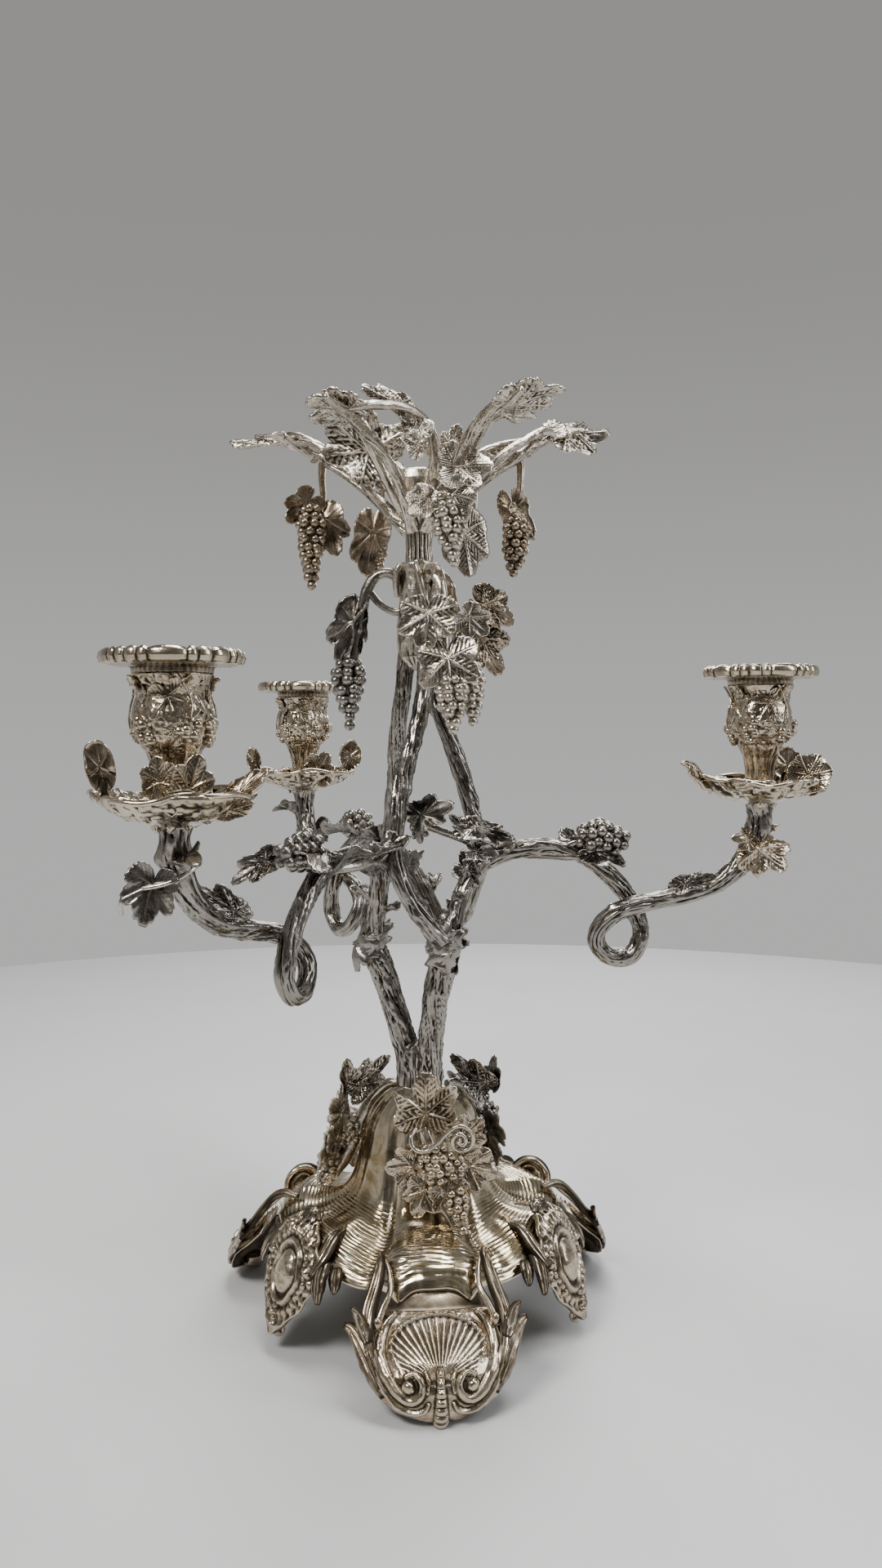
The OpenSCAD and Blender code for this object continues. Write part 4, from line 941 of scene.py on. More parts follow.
def kite_relief(U, V):
    k = V * (len(KITE) - 1)
    ix = np.arange(len(KITE))
    sl, hw = np.interp(k, ix, KITE[:, 2]), np.interp(k, ix, KITE[:, 3])
    x, y = U * hw, sl
    h, dk = np.zeros_like(x), np.zeros_like(x)
    cy = 33.0
    q = np.sqrt((x / 8.2) ** 2 + ((y - cy) / 11.5) ** 2)
    h += 4.0 * np.sqrt(np.clip(1 - q ** 2, 0, 1))
    # Dark rings round the boss, between the lobes of the beaded ring and round the side knobs: painted shade in the
    # grooves, partly tarnish.
    dk += 0.75 * np.exp(-((q - 1.07) / 0.09) ** 2)
    h += 1.9 * np.exp(-((q - 1.38) / 0.15) ** 2)
    dk += 0.6 * np.exp(-((q - 1.64) / 0.10) ** 2)
    q2 = np.sqrt((x / 16.5) ** 2 + ((y - cy) / 20.5) ** 2)
    th = np.arctan2(x, y - cy)
    h += 1.5 * np.exp(-((q2 - 1.0) / 0.10) ** 2) * (0.78 + 0.48 * np.abs(np.cos(th * 15)))
    dk += 0.5 * np.exp(-((q2 - 1.0) / 0.10) ** 2) * sstep(0.5, 0.1, np.abs(np.cos(th * 15)))
    q3 = np.sqrt((x / 20.0) ** 2 + ((y - cy + 2) / 26.0) ** 2)
    h += 1.2 * np.exp(-((q3 - 1.0) / 0.07) ** 2) + 0.34 * np.cos(th * 28) * sstep(1.05, 1.15, q2) * sstep(1.45, 1.3, q2)
    for sx in (-1, 1):
        kx, ky = sx * 19.5, 38.0
        h += 2.4 * np.sqrt(np.clip(1 - ((x - kx) ** 2 + (y - ky) ** 2) / 9.0, 0, 1))
        dk += 0.6 * np.exp(-((np.hypot(x - kx, y - ky) - 3.5) / 0.6) ** 2)
    for i in range(4):
        yy = 15.0 - 3.1 * i
        h += (1.6 - 0.2 * i) * np.sqrt(np.clip(1 - (x ** 2 + (y - yy) ** 2) / 2.6, 0, 1))
    h += 0.9 * np.cos(x * 1.5) * sstep(50, 58, y)
    h += 0.28 * vnoise(np.stack([x / 4, y / 4, np.zeros_like(x)], -1), 15) + 0.12 * vnoise(np.stack([x / 1.4, y / 1.4, np.zeros_like(x)], -1), 16)
    e = np.clip(1 - np.abs(U), 0, 1) * hw
    return h * sstep(0, 1.6, e) + 0.5 * sstep(1.6, 0.2, e), np.clip(dk, 0, 0.85)

def build_scroll(az, name, node, seed):
    g = Geo()
    g.merge(plate(kite_surf, kite_relief, 121, 121, 3.0))
    # curl foot at the tip
    g.merge(wire([[91.5, 0, 14], [92.5, 0, 10.5], [91.5, 0, 8.2], [89.2, 0, 8.0], [88.4, 0, 10.0], [89.6, 0, 11.4]], 1.9, taper=0.3))
    for sx in (-1, 1):
        # folds running from the mount on to the fan
        g.merge(frond([[84, sx * 22, 44], [77, sx * 22.5, 53], [68, sx * 18, 59.5], [59, sx * 12, 59.0], [52, sx * 7, 61]],
                      lambda t: 1.0 + 3.0 * math.sin(math.pi * min(0.15 + 0.85 * t, 1)), [0.5, sx * 0.1, 0.9], 2.4, 2, 0.3, nu=19, depth=0.8, seed=seed + 1, edge=0.06))
        # pointed leaves that hang at the fan edge
        g.merge(frond([[76, sx * 24, 50], [81, sx * 27, 47], [84, sx * 29.5, 40], [84.5, sx * 31, 33.5]],
                      lambda t: 1.2 + 4.2 * math.sin(math.pi * min(0.2 + 0.8 * t, 1)) ** 0.9, [0.9, sx * 0.2, 0.4], 2.0, 2, 0.15, nu=19, depth=0.7, seed=seed + 4, edge=0.08))
        g.merge(frond([[74, sx * 32, 50], [77, sx * 35, 46], [78.5, sx * 37, 39.5]],
                      lambda t: 1.0 + 3.4 * math.sin(math.pi * min(0.2 + 0.8 * t, 1)) ** 0.9, [0.9, sx * 0.4, 0.4], 1.8, 2, 0.15, nu=15, depth=0.6, seed=seed + 5, edge=0.08))
    # small ribbed flower at the top of the mount
    for k, a in enumerate((-70, -35, 0, 35, 70)):
        dx, dy = math.cos(math.radians(a)), math.sin(math.radians(a))
        g.merge(frond([[68, 0, 66.3], [68 + 5 * dx * 0.7, 5 * dy, 68.2 - 1.5 * dx], [68 + 9 * dx * 0.8, 9.5 * dy, 67.0 - 4.5 * dx]],
                      lambda t: 0.8 + 2.4 * math.sin(math.pi * min(0.25 + 0.75 * t, 1)), [0.4, 0, 1], 1.4, 2, 0.2, nu=13, depth=0.5, seed=seed + k, ds=0.7))
    g.merge(ball([68.5, 0, 67.6], 2.3, (1, 1, 0.8)))
    make(name, Geo().merge(g, rotz(az)), M_AGED, "stand", (node,), gain=(5, 1.6, 0.55))

# ---------------------------------------------------------------- sprays on the dome
def build_spray(az, name, node, seed, front=False):
    g = Geo()
    g.merge(bark([[15, -3, 122.5, 2.2], [21, -2, 121.5, 2.7], [27, -1.5, 117.5, 3.0], [32.5, -1, 111, 3.6], [36.5, 1, 103, 4.2], [40, 3, 94, 4.4], [43, 5, 85, 4.4], [46, 7, 77, 4.0], [50, 10, 70, 3.0], [54, 13, 63, 1.8]], seed, ds=0.9, nth=28, amp=0.45))
    # the big leaf that stands free of the dome
    if front:
        g.merge(leaf(36, seed, 1.0, cup=-0.06, droop=0.04, wave=0.07, thick=1.7, style="vein", rel=1.5, na=150, nr=19), aim([38, -0.5, 110.5], [0.10, 0.0, 1], [1, 0, 0.2]))
    for (p, d, n, L, w, st) in (([42, 14, 104], [0.1, 0.75, 0.6], [1, 0.15, 0.2], 23, 0.9, "grain"), ([44, 16, 95], [0.1, 1, -0.35], [1, 0.25, 0.15], 25, 1.0, "vein"), ([44, -3, 93], [0.05, -1, 0.0], [1, -0.2, 0.2], 21, 1.0, "vein"),
                                ([47, 0, 86], [0.2, -0.45, -1], [1, -0.15, 0.3], 21, 1.0, "vein"), ([48.5, 9, 86], [0.25, 0.25, -1], [1, 0.1, 0.35], 22, 1.0, "vein"), ([43, 21, 91], [0.05, 0.8, 0.4], [1, 0.5, 0.1], 17, 0.9, "grain")):
        g.merge(leaf(L, seed + int(p[2]) + L, w, cup=0.06, droop=0.18, wave=0.06, thick=1.5, style=st, rel=1.3, na=120, nr=14), aim(p, d, n))
    g.merge(grapes([43.5, 4, 104], [0.22, 0.02, -1], 19, 10.0, 2.45, seed, prof=[(0, 0.55), (0.3, 1.0), (0.7, 0.9), (1, 0.5)]))
    g.merge(grapes([46, 14, 98], [0.2, 0.05, -1], 12, 6.0, 2.2, seed + 2, prof=[(0, 0.6), (0.4, 1.0), (1, 0.6)]))
    g.merge(grapes([50.5, 13, 83], [0.32, 0.22, -1], 22, 6.4, 2.4, seed + 1))
    W = Geo().merge(g, rotz(az))
    if not front:
        # leaves that stand free of the dome and lean in towards the stem
        sx = 1 if az == 30 else -1
        W.merge(leaf(34, seed, 0.56, cup=0.10, droop=-0.04, wave=0.10, thick=1.8, style="grain", rel=1.3, na=150, nr=19, fold=0.15), aim([sx * 40, 13, 114.5], [-sx * 0.74, 0.0, 0.72], [-0.30, -0.85, 0.30]))
        W.merge(leaf(22, seed + 9, 0.60, cup=0.3, droop=-0.05, wave=0.1, thick=1.6, style="grain", na=108, nr=12, fold=0.3), aim([sx * 41, 14, 115], [sx * 0.10, 0.1, 1.0], [-0.5 * sx, -0.8, 0.1]))
    # Front spray aged silver; the left spray gets the bright silver and the right the dark silver: painted light and
    # painted shade on copies of one casting.
    make(name, W, M_AGED if front else (M_BRIGHT if az == 150 else M_DARK), "stand", (node,))

build_base()
for az, k in ((-90, "front"), (30, "right"), (150, "left")):
    build_foot(az, "foot_" + k, "shell_foot_" + k, 3)
    build_spray(az, "spray_" + k, "dome_spray_" + k, {"front": 5, "right": 25, "left": 45}[k], k == "front")
for az, k in ((-30, "right"), (90, "back"), (210, "left")):
    build_scroll(az, "mount_" + k, "scroll_mount_" + k, 11)

# ---------------------------------------------------------------- stem
def to_xyz(rows):
    return [list(pol(r, a, z)) + [w] for r, a, z, w in rows]

def vine_route(a):
    return to_xyz([(7.4, a, 124, 6.8), (8.2, a, 141, 6.7), (12.5, a, 159, 6.7), (18, a, 177, 6.7), (24.5, a + 1, 197, 6.9), (28, a - 4, 207, 6.4), (30, a - 20, 217, 5.4),
                   (31, a - 38, 230, 4.9), (33, a - 54, 250, 4.8), (30, a - 56, 272, 4.8), (25, a - 54, 292, 4.8), (18, a - 43, 315, 4.7), (11.6, a - 25, 335, 4.7), (8.6, a - 10, 352, 4.7), (7, a, 368, 4.7)])

LEGS = {"a": 176, "b": -64, "c": 56}

def joint(c, seed, up=(0, 0, 1), out=(1, 0, 0), r=8.2):
    """Cast leaf collar that hides a screwed joint."""
    g = Geo()
    V = ICO3[0].copy()
    n = 1 + 0.10 * fbm(V * 2.2 + seed, seed, 2) + 0.05 * vnoise(V * 6 + seed, seed + 3)
    g.add(V * (r * n)[:, None] * np.array([1, 1, 1.12]) + np.asarray(c, float), ICO3[1], 0.1)
    up, out = unit(up), unit(out)
    side = np.cross(up, out)
    rs = np.random.RandomState(seed)
    for i in range(6):
        a = i / 6 * TAU + rs.uniform(-0.25, 0.25)
        o = math.cos(a) * out + math.sin(a) * side
        s = 1 if i % 2 else -1
        p = np.asarray(c, float) + o * (r * 0.80) + up * (-s * r * 0.25)
        # Collar leaves with dark_under=0.8: strong painted shade on their undersides.
        g.merge(leaf(rs.uniform(15.0, 19.0), seed + i, 1.1, cup=-0.5, droop=0.55, wave=0.12, thick=1.2, style="grain", na=84, nr=9, dark_under=0.8), aim(p, up * s * 0.95 + o * 0.35, o))
    return g

ICO3 = ico(3)

def build_stem():
    g = bark([[0, 0, 120.8, 14.5], [0, 0, 124, 12.2], [0, 0, 130, 11.8], [0, 0, 138, 12.2], [0, 0, 147, 12.0]], 41, ds=0.8, nth=84, amp=0.75, k=3.2, L=15, knots=[(0.3, 1.0, 3, 1.2), (0.55, 4.0, 3, 1.0)])
    make("stem_bark", g, M_DARK, "stand", ("stem_root",))
    for i, (k, a) in enumerate(LEGS.items()):
        rs = np.random.RandomState(i + 5)
        kn = [(rs.uniform(0.06, 0.95), rs.uniform(-3, 3), rs.uniform(2.2, 3.4), rs.uniform(0.8, 1.5)) for _ in range(9)]
        make("vine_bark_" + k, bark(vine_route(a), 60 + i, ds=0.95, nth=54, amp=0.66, k=1.9, L=17, twist=0.012, knots=kn), M_DARK, "stand", ("vine_" + k,))
        c = np.array(pol(27.5, a, 205))
        make("joint_leaves_" + k, joint(c, 70 + i, (0.25, 0, 1), pol(1, a, 0)), M_DARK, "stand", ("leaf_joint_" + k,))

def build_collar():
    def rel(S, TH, R, Z):
        f = np.stack([np.cos(TH) * 2.6, np.sin(TH) * 2.6, Z / 14.0], -1)
        n1 = 1 - 1.9 * np.abs(vnoise(f, 90))
        return (0.65 * n1 + 0.35 * (1 - 1.9 * np.abs(vnoise(f * 2.2, 91))) - 0.5) * sstep(414.0, 411.5, Z) + 0.9 * np.cos(3 * (TH - math.radians(LEGS["a"]))) * sstep(396, 366, Z)
    g = lathe([[0.5, 356], [6, 357], [10.2, 362], [11.6, 370], [11.8, 384], [11.0, 396], [10.8, 408], [11.4, 412.5], [10.9, 413.9], [6.2, 413.9], [6.2, 388], [0.5, 388]], 84, 0.8, rel)
    # smooth scroll ends that lap over the collar
    for a, s in ((-102, 1), (-40, -1), (20, 1), (80, -1), (140, 1), (200, -1)):
        P = [list(pol(11.2, a, 413)) + [1.7], list(pol(12.9, a + 5 * s, 409)) + [2.0], list(pol(13.1, a + 12 * s, 402)) + [2.0], list(pol(12.4, a + 17 * s, 396)) + [1.4]]
        g.merge(bark(P, 100 + a, ds=0.8, nth=18, amp=0.2))
    make("collar_bark", g, M_BRIGHT, "stand", ("stem_collar",))

def drop(az, name, node, leaves, bunch, seed, mat, world=()):
    M = rotz(az)
    g = Geo()
    g.merge(bark([[10, 0, 404, 3.1], [16, 0, 409, 3.2], [24, 0, 407.5, 3.2], [29.5, 0, 399, 3.1], [32, 0, 387, 3.0], [35.5, 0, 372, 2.8], [37, 0, 359, 2.3]], seed, ds=0.8, nth=26, amp=0.42, k=1.4, L=12, knots=[(0.32, 1.5, 2.2, 1.1), (0.7, 4.0, 2.0, 0.9)]))
    g.merge(bark([[28.6, 0, 400, 2.1], [22.5, 0, 392.5, 2.1], [15, 0, 388, 2.2], [10, 0, 388, 2.4]], seed + 1, ds=0.8, nth=22, amp=0.35, k=1.4, L=12))
    g.merge(wire([[33, 0, 382], [38, 1.5, 381], [41.5, 2, 377.5]], 1.1, taper=0.7))
    for (p, d, n, L, w, style, sd, fold) in leaves:
        g.merge(leaf(L, sd, w, cup=0.10, droop=0.22, wave=0.07, thick=1.5, style=style, fold=fold, na=132, nr=15), aim(p, d, n))
    W = Geo().merge(g, M)
    for (p, d, n, L, w, style, sd, kw) in world:
        W.merge(leaf(L, sd, w, style=style, na=144, nr=17, **kw), aim(p, d, n))
    for (top, ax, ln, R, gr) in bunch:
        W.merge(grapes(top, ax, ln, R, gr, seed))
    make(name, W, mat, "stand", (node,))

def build_drops():
    kw = dict(cup=0.04, droop=0.10, wave=0.05, thick=1.6, rel=1.1)
    drop(-72, "drop_front", "collar_drop_front", [],
         [([14, -38, 350], [0.03, -0.02, -1], 28, 9.0, 2.7), ([26, -31, 358], [0.0, -0.05, -1], 34, 6.6, 2.6)], 120, M_BRIGHT,
         [([3, -37.0, 391], [-0.12, -0.08, -1], [-0.32, -0.90, 0.30], 32, 1.05, "vein", 3, kw), ([11.5, -41.5, 367.5], [0.06, -0.10, -1], [-0.30, -0.90, 0.32], 33, 1.0, "vein", 8, kw),
          ([20, -33, 385], [0.8, 0.0, -0.7], [-0.25, -0.92, 0.28], 21, 0.90, "vein", 9, kw)])
    kw = dict(cup=0.10, droop=0.16, wave=0.10, thick=1.6, rel=1.2)
    drop(48, "drop_right", "collar_drop_right", [],
         [([30, 26, 362], [0.05, -0.05, -1], 35, 8.0, 2.7)], 130, M_BROWN,
         [([31, 17, 397], [1.0, 0.1, -0.45], [0.1, -1, 0.5], 33, 0.85, "grain", 13, kw), ([29, 14, 382], [0.75, 0.1, -1], [0.1, -1, 0.25], 37, 0.95, "grain", 18, kw)])
    kw = dict(cup=0.05, droop=0.10, wave=0.05, thick=1.8, fold=0.55, rim=0.02)
    drop(171, "drop_left", "collar_drop_left", [],
         [([-40, 6, 362], [0.03, 0, -1], 37, 9.4, 3.1)], 140, M_DARK,
         [([-32, 5, 392], [-0.42, 0.1, -1], [-0.85, -0.75, 0.3], 42, 0.52, "smooth", 23, kw), ([-31.5, 4, 388], [-0.08, 0.0, -1], [-0.1, -0.98, 0.2], 25, 0.34, "vein", 27, kw)])

# ---------------------------------------------------------------- arms
ARM = [[15, -21, 204, 5.2], [19, -17, 218, 5.2], [24, -11, 234, 5.2], [32, -5, 246, 5.2], [44, 0, 253, 5.2], [60, 0, 257, 5.2], [75, 0, 257, 5], [90, 2, 252, 5], [103, 4, 243, 5],
       [114, 5.6, 231, 4.9], [121, 5.8, 217, 4.9], [122, 5.6, 205, 4.9], [115, 4, 196, 4.9], [105, 2, 196, 4.9], [98, -1, 203, 4.9], [98, -4, 212, 4.9], [106, -5.8, 221, 4.9], [118, -5.8, 226, 4.9],
       [132, -4, 229, 4.9], [147, -2, 232, 5], [162, 0, 237, 5.2], [174, 0, 246, 5.6], [182, 0, 257, 6.6], [185, 0, 266, 7.2], [186, 0, 274, 6.4], [186, 0, 283, 8.6]]

def arm_at(f):
    Q, s = spline(ARM, 1.0)
    return np.array([np.interp(f * s[-1], s, Q[:, k]) for k in range(4)])

def build_arm(az, key, seed):
    M = rotz(az)
    rs = np.random.RandomState(seed)
    kn = [(rs.uniform(0.03, 0.97), rs.uniform(-3, 3), rs.uniform(2.0, 3.2), rs.uniform(0.7, 1.5)) for _ in range(13)]
    kn += [(0.965, 1.0, 4.5, 1.3), (0.965, -2.2, 4.5, 1.2), (0.50, 1.2, 3.5, 1.2)]
    g = bark(ARM, seed, ds=0.95, nth=52, amp=0.62, k=1.75, L=18, twist=0.01, knots=kn)
    # stub shoots, buds and small leaves near the stem
    for f, d, L, w, st in ((0.075, (0.2, -1, 0.7), 16, 0.6, "grain"), (0.115, (-0.6, 0.6, 1), 17, 0.55, "grain"), (0.13, (0.5, -0.9, 0.5), 15, 0.7, "grain"), (0.17, (0.6, 0.9, 0.45), 17, 0.6, "grain"),
                           (0.185, (0.9, -0.5, 0.6), 14, 0.55, "grain"), (0.055, (-0.4, 0.9, 0.3), 15, 0.6, "grain")):
        q = arm_at(f)
        dd = unit(d)
        p = q[:3] + dd * q[3] * 0.75
        g.merge(leaf(L, seed + int(f * 1000), w, cup=0.35, droop=0.1, wave=0.12, thick=1.6, style=st, na=84, nr=10, fold=0.2), aim(p, dd + np.array([0.35, 0, 0.15]), [0.2, -0.3, 1]))
        g.merge(bark([list(q[:3]) + [2.2], list(q[:3] + dd * q[3] * 1.15) + [1.3]], seed + 3, ds=0.8, nth=16, amp=0.3))
    def local(v, w=0.0):
        return (rotz(-az) @ np.array([v[0], v[1], v[2], w]))[:3]
    if key == "right":
        g.merge(leaf(27, seed + 31, 0.42, cup=0.2, droop=0.12, wave=0.08, thick=2.2, style="grain", na=120, nr=14), aim([139, -5.5, 235], [1, 0.08, 0.36], [-0.25, -0.9, 0.6]))
        # shoot and leaves where the arm leaves its vine
        g.merge(bark([list(local(v, 1)) + [r] for v, r in (([27, -8, 261], 2.6), ([13.5, -8.5, 266], 2.4), ([0, -9, 271], 2.2), ([-8, -9, 274], 1.7))], seed + 40, ds=0.8, nth=20, amp=0.4))
        for v, d, n, L, w, st in (([-6, -10, 273], [25, -1, 10], [-0.15, -0.92, 0.35], 27, 0.72, "smooth"), ([-2, -11, 270.5], [0.15, 0, -1], [0.1, -1, 0.2], 11, 0.9, "vein"),
                                  ([20, -14.5, 269.5], [36, -1, -6], [-0.1, -0.85, 0.5], 36, 0.40, "grain"), ([25, -14, 265], [-9, 0, 11], [0.3, -0.9, 0.4], 16, 0.55, "smooth"),
                                  ([25, -16, 257], [17, -1, -2], [-0.1, -0.95, 0.35], 18, 0.72, "grain"), ([21, -18, 250], [7, -1, -11], [-0.2, -1, 0.1], 17, 0.85, "grain")):
            g.merge(leaf(L, seed + 50 + L, w, cup=0.2, droop=0.15, wave=0.1, thick=1.8, style=st, na=96, nr=11), aim(local(v, 1), local(d), local(n)))
    # thick lap of bark where the strands cross
    g.merge(bark([list(q) for q in ([40, 4.2, 251, 2.4], [52, 4.6, 254, 3.0], [66, 3.2, 253, 3.0], [80, -1.5, 252.5, 2.6], [90, -3.5, 252, 1.4])], seed + 8, ds=0.9, nth=24, amp=0.5))
    make("arm_bark_" + key, Geo().merge(g, M), M_DARK, "stand", ("arm_" + key,))
    g = grapes([87, -3, 264.5], [1, 0, -0.12], 30, 9.8, 2.95, seed + 20, prof=[(0, 0.6), (0.25, 1.0), (0.6, 0.9), (1, 0.4)])
    g.merge(leaf(35, seed + 21, 0.85, cup=0.25, droop=0.12, wave=0.1, thick=1.5, style="grain"), aim([83, 1, 260.5], [1, 0.55, 0.05], [0, 0.1, 1]))
    if key == "front_left":
        g.merge(leaf(29, seed + 22, 0.52, cup=0.15, droop=0.1, wave=0.1, thick=1.5, style="vein", na=120, nr=14), aim(local([-75, -78, 262.5], 1), local([-0.85, -0.15, -0.50]), local([-0.30, -0.90, 0.25])))
    else:
        g.merge(leaf(26, seed + 22, 0.7, cup=0.3, droop=0.25, wave=0.1, thick=1.5, style="grain", na=96, nr=11), aim([90, -5, 257], [1, -0.5, -0.25], [0.1, -0.9, 0.5]))
    g.merge(bark([[80, 0, 257, 2.4], [85, -1, 260, 2.2], [92, -3, 262, 1.6]], seed + 23, ds=0.8, nth=18, amp=0.3))
    make("arm_bunch_" + key, Geo().merge(g, M), M_DARK, "stand", ("arm_grapes_" + key,))
    g = Geo()
    if key == "right":
        g.merge(leaf(27, seed + 30, 1.05, cup=-0.25, droop=0.25, wave=0.12, thick=1.6, style="grain", rel=1.3, jag=1.3, na=144, nr=17), aim([179, -8.5, 261], [0.75, -0.35, -0.55], [0.05, -1, 0.25]))
        g.merge(leaf(15, seed + 33, 0.9, cup=0.1, droop=0.2, wave=0.1, thick=1.2, style="vein", na=84, nr=10), aim([181, -8, 262], [-0.75, -0.5, 0.15], [0, -1, 0.3]))
    else:
        pw = np.array([-122, -151.5, 263.5, 1]) if key == "front_left" else rotz(az) @ np.array([187, -9.5, 262, 1])
        q = (rotz(-az) @ pw)[:3]
        o = rotz(-az) @ np.array([-0.25, -0.1, -1, 0])
        nn = rotz(-az) @ np.array([-0.1, -1.0, 0.15, 0])
        g.merge(leaf(26, seed + 30, 0.95, cup=0.10, droop=0.10, wave=0.06, thick=1.6, style="vein", rel=0.6, jag=1.5), aim(q, o[:3], nn[:3]))
    if key == "front_left":
        g.merge(leaf(29, seed + 31, 0.55, cup=0.15, droop=0.10, wave=0.07, thick=2.0, style="grain", na=120, nr=15), aim(local([-88.5, -110.5, 235.5], 1), local([-0.76, -0.20, 0.62]), local([0.35, -0.85, 0.40])))
    elif key == "back_left":
        g.merge(leaf(27, seed + 31, 0.62, cup=0.35, droop=0.12, wave=0.07, thick=2.0, style="grain", na=96), aim([140, -3, 234], [1, 0.05, 0.35], [-0.3, -0.3, 1]))
    g.merge(leaf(24, seed + 32, 0.75, cup=0.2, droop=0.2, wave=0.1, thick=1.5, style="grain", na=96), aim([45, 1, 256.5], [-0.35, 0.75, 0.55], [0.5, 0, 1]))
    # scroll leaf lying under the saucer
    g.merge(leaf(17, seed + 34, 0.9, cup=0.2, droop=0.4, wave=0.1, thick=1.3, style="grain", na=84, nr=10), aim([188, 6, 268], [0.4, 0.8, 0.25], [0.5, 0.6, 0.6]))
    make("arm_leaf_" + key, Geo().merge(g, M), M_DARK if key != "right" else M_AGED, "stand", ("arm_leaves_" + key,))

# ---------------------------------------------------------------- saucers, sockets, pans
SOCK = np.array([[7.2, 282], [7.0, 288], [7.2, 294], [7.6, 300], [9.0, 307], [12.0, 313.5], [15.9, 320], [17.2, 326], [16.4, 331.5], [15.0, 336.5], [15.2, 341], [17.0, 344.6], [17.6, 345.6]])

def sock_r(z):
    return np.interp(z, SOCK[:, 1], SOCK[:, 0])

def wrap(g0, az, z0, tilt, lift):
    """Lay a flat leaf on the socket: local x runs round, y up, z outwards."""
    V = np.vstack(g0.V)
    ct, st = math.cos(tilt), math.sin(tilt)
    x = V[:, 0] * ct - V[:, 1] * st
    y = V[:, 0] * st + V[:, 1] * ct
    z = z0 + y
    R = sock_r(z) + lift + V[:, 2]
    th = math.radians(az) + x / np.maximum(sock_r(z) + 1.0, 6)
    P = np.stack([R * np.cos(th), R * np.sin(th), np.minimum(z, 345.8)], -1)
    g = Geo()
    g.add(P, [f for f in g0.F], np.concatenate(g0.A))
    return g

def build_socket(az, key, seed):
    c = pol(186, az, 0)
    def rel(S, TH, R, Z):
        lo = sstep(316, 306, Z)
        f = np.stack([np.cos(TH) * 2.6, np.sin(TH) * 2.6, Z / 16.0], -1)
        fl = 1 - 1.9 * np.abs(vnoise(f, seed))
        f2 = np.stack([np.cos(TH) * 5.5, np.sin(TH) * 5.5, Z / 12.0], -1)
        fl2 = 1 - 1.9 * np.abs(vnoise(f2, seed + 1))
        outer = sstep(0.2, 3.0, S) * sstep(78, 70, S)
        grain = fbm(np.stack([R * np.cos(TH) / 2.2, R * np.sin(TH) / 2.2, Z / 2.2], -1), seed + 2, 2)
        rim = sstep(339, 345.5, Z) * (0.7 * np.cos(4 * TH + 0.6 + seed) + 0.4 * np.cos(9 * TH + seed))
        f3 = np.stack([R * np.cos(TH) / 1.55, R * np.sin(TH) / 1.55, Z / 1.7], -1)
        pit = np.abs(vnoise(f3, seed + 3)) * 2 - 0.6
        return outer * (lo * (0.75 * fl + 0.4 * fl2 - 0.5) + (1 - lo) * (0.45 * grain + 0.32 * pit) + 0.9 * rim)
    prof = [[0.3, 282]] + SOCK.tolist() + [[17.2, 346.0], [13.0, 346.0], [12.6, 345.0], [12.6, 323], [0.3, 323]]
    g = lathe(prof, 132, 0.75, rel)
    rs = np.random.RandomState(seed)
    # big engraved leaves round the vase, each hanging from the rim or climbing from the stem
    for i, (a, z0, tilt, L, w, st, lift) in enumerate(((-100, 341, math.pi + 0.35, 20, 1.15, "vein", 0.4), (-40, 343, math.pi - 0.5, 19, 1.0, "vein", 0.2), (15, 340, math.pi + 0.2, 20, 1.1, "grain", 0.3), (75, 342, math.pi - 0.3, 20, 1.1, "vein", 0.3),
                                                   (135, 341, math.pi + 0.3, 20, 1.1, "grain", 0.3), (195, 342, math.pi - 0.2, 20, 1.1, "vein", 0.3),
                                                   (-70, 318, 0.5, 15, 0.9, "grain", 0.3), (50, 317, -0.4, 15, 0.9, "grain", 0.3), (165, 317, 0.3, 15, 0.9, "grain", 0.3))):
        g.merge(wrap(leaf(L, seed + i, w, cup=0.0, droop=0.0, wave=0.05, thick=1.5, style=st, rel=1.45, na=114, nr=15), a + rs.uniform(-6, 6), z0, tilt, lift))
    # grapes in a band at the bulge
    for a0, zc, n in ((-132, 322, 9), (-62, 321, 6), (-12, 322, 9), (45, 321, 8), (105, 322, 8), (160, 321, 8)):
        for j in range(n):
            a = math.radians(a0 + rs.uniform(-15, 15))
            z = zc + rs.uniform(-6.5, 5.0)
            q = rs.uniform(1.9, 2.5)
            R = sock_r(z) + rs.uniform(0.3, 1.2)
            g.merge(ball([R * math.cos(a), R * math.sin(a), z], q))
    # tendrils
    for a0, s in ((-80, 1), (40, -1), (160, 1)):
        pts = []
        for k in range(9):
            t = k / 8
            z = 345.5 - 25 * t
            a = math.radians(a0 + s * (34 * t + 10 * math.sin(5 * t)))
            R = sock_r(z) + 1.5
            pts.append([R * math.cos(a), R * math.sin(a), z])
        g.merge(wire(pts, 0.62, taper=0.5))
    # leaf corners standing out at the rim
    for a in (-150, -62, 28, 118):
        p = [16.6 * math.cos(math.radians(a)), 16.6 * math.sin(math.radians(a)), 339.5]
        o = np.array([math.cos(math.radians(a)), math.sin(math.radians(a)), 0])
        g.merge(leaf(7.6, seed + a + 200, 0.9, cup=0.1, droop=-0.3, wave=0.1, thick=1.4, style="grain", na=60, nr=8), aim(p, o * 0.35 + np.array([0, 0, 0.75]), o))
    M = np.eye(4)
    M[:3, 3] = c
    make("socket_vase_" + key, Geo().merge(g, M), M_CHAMP, "stand", ("socket_" + key,))

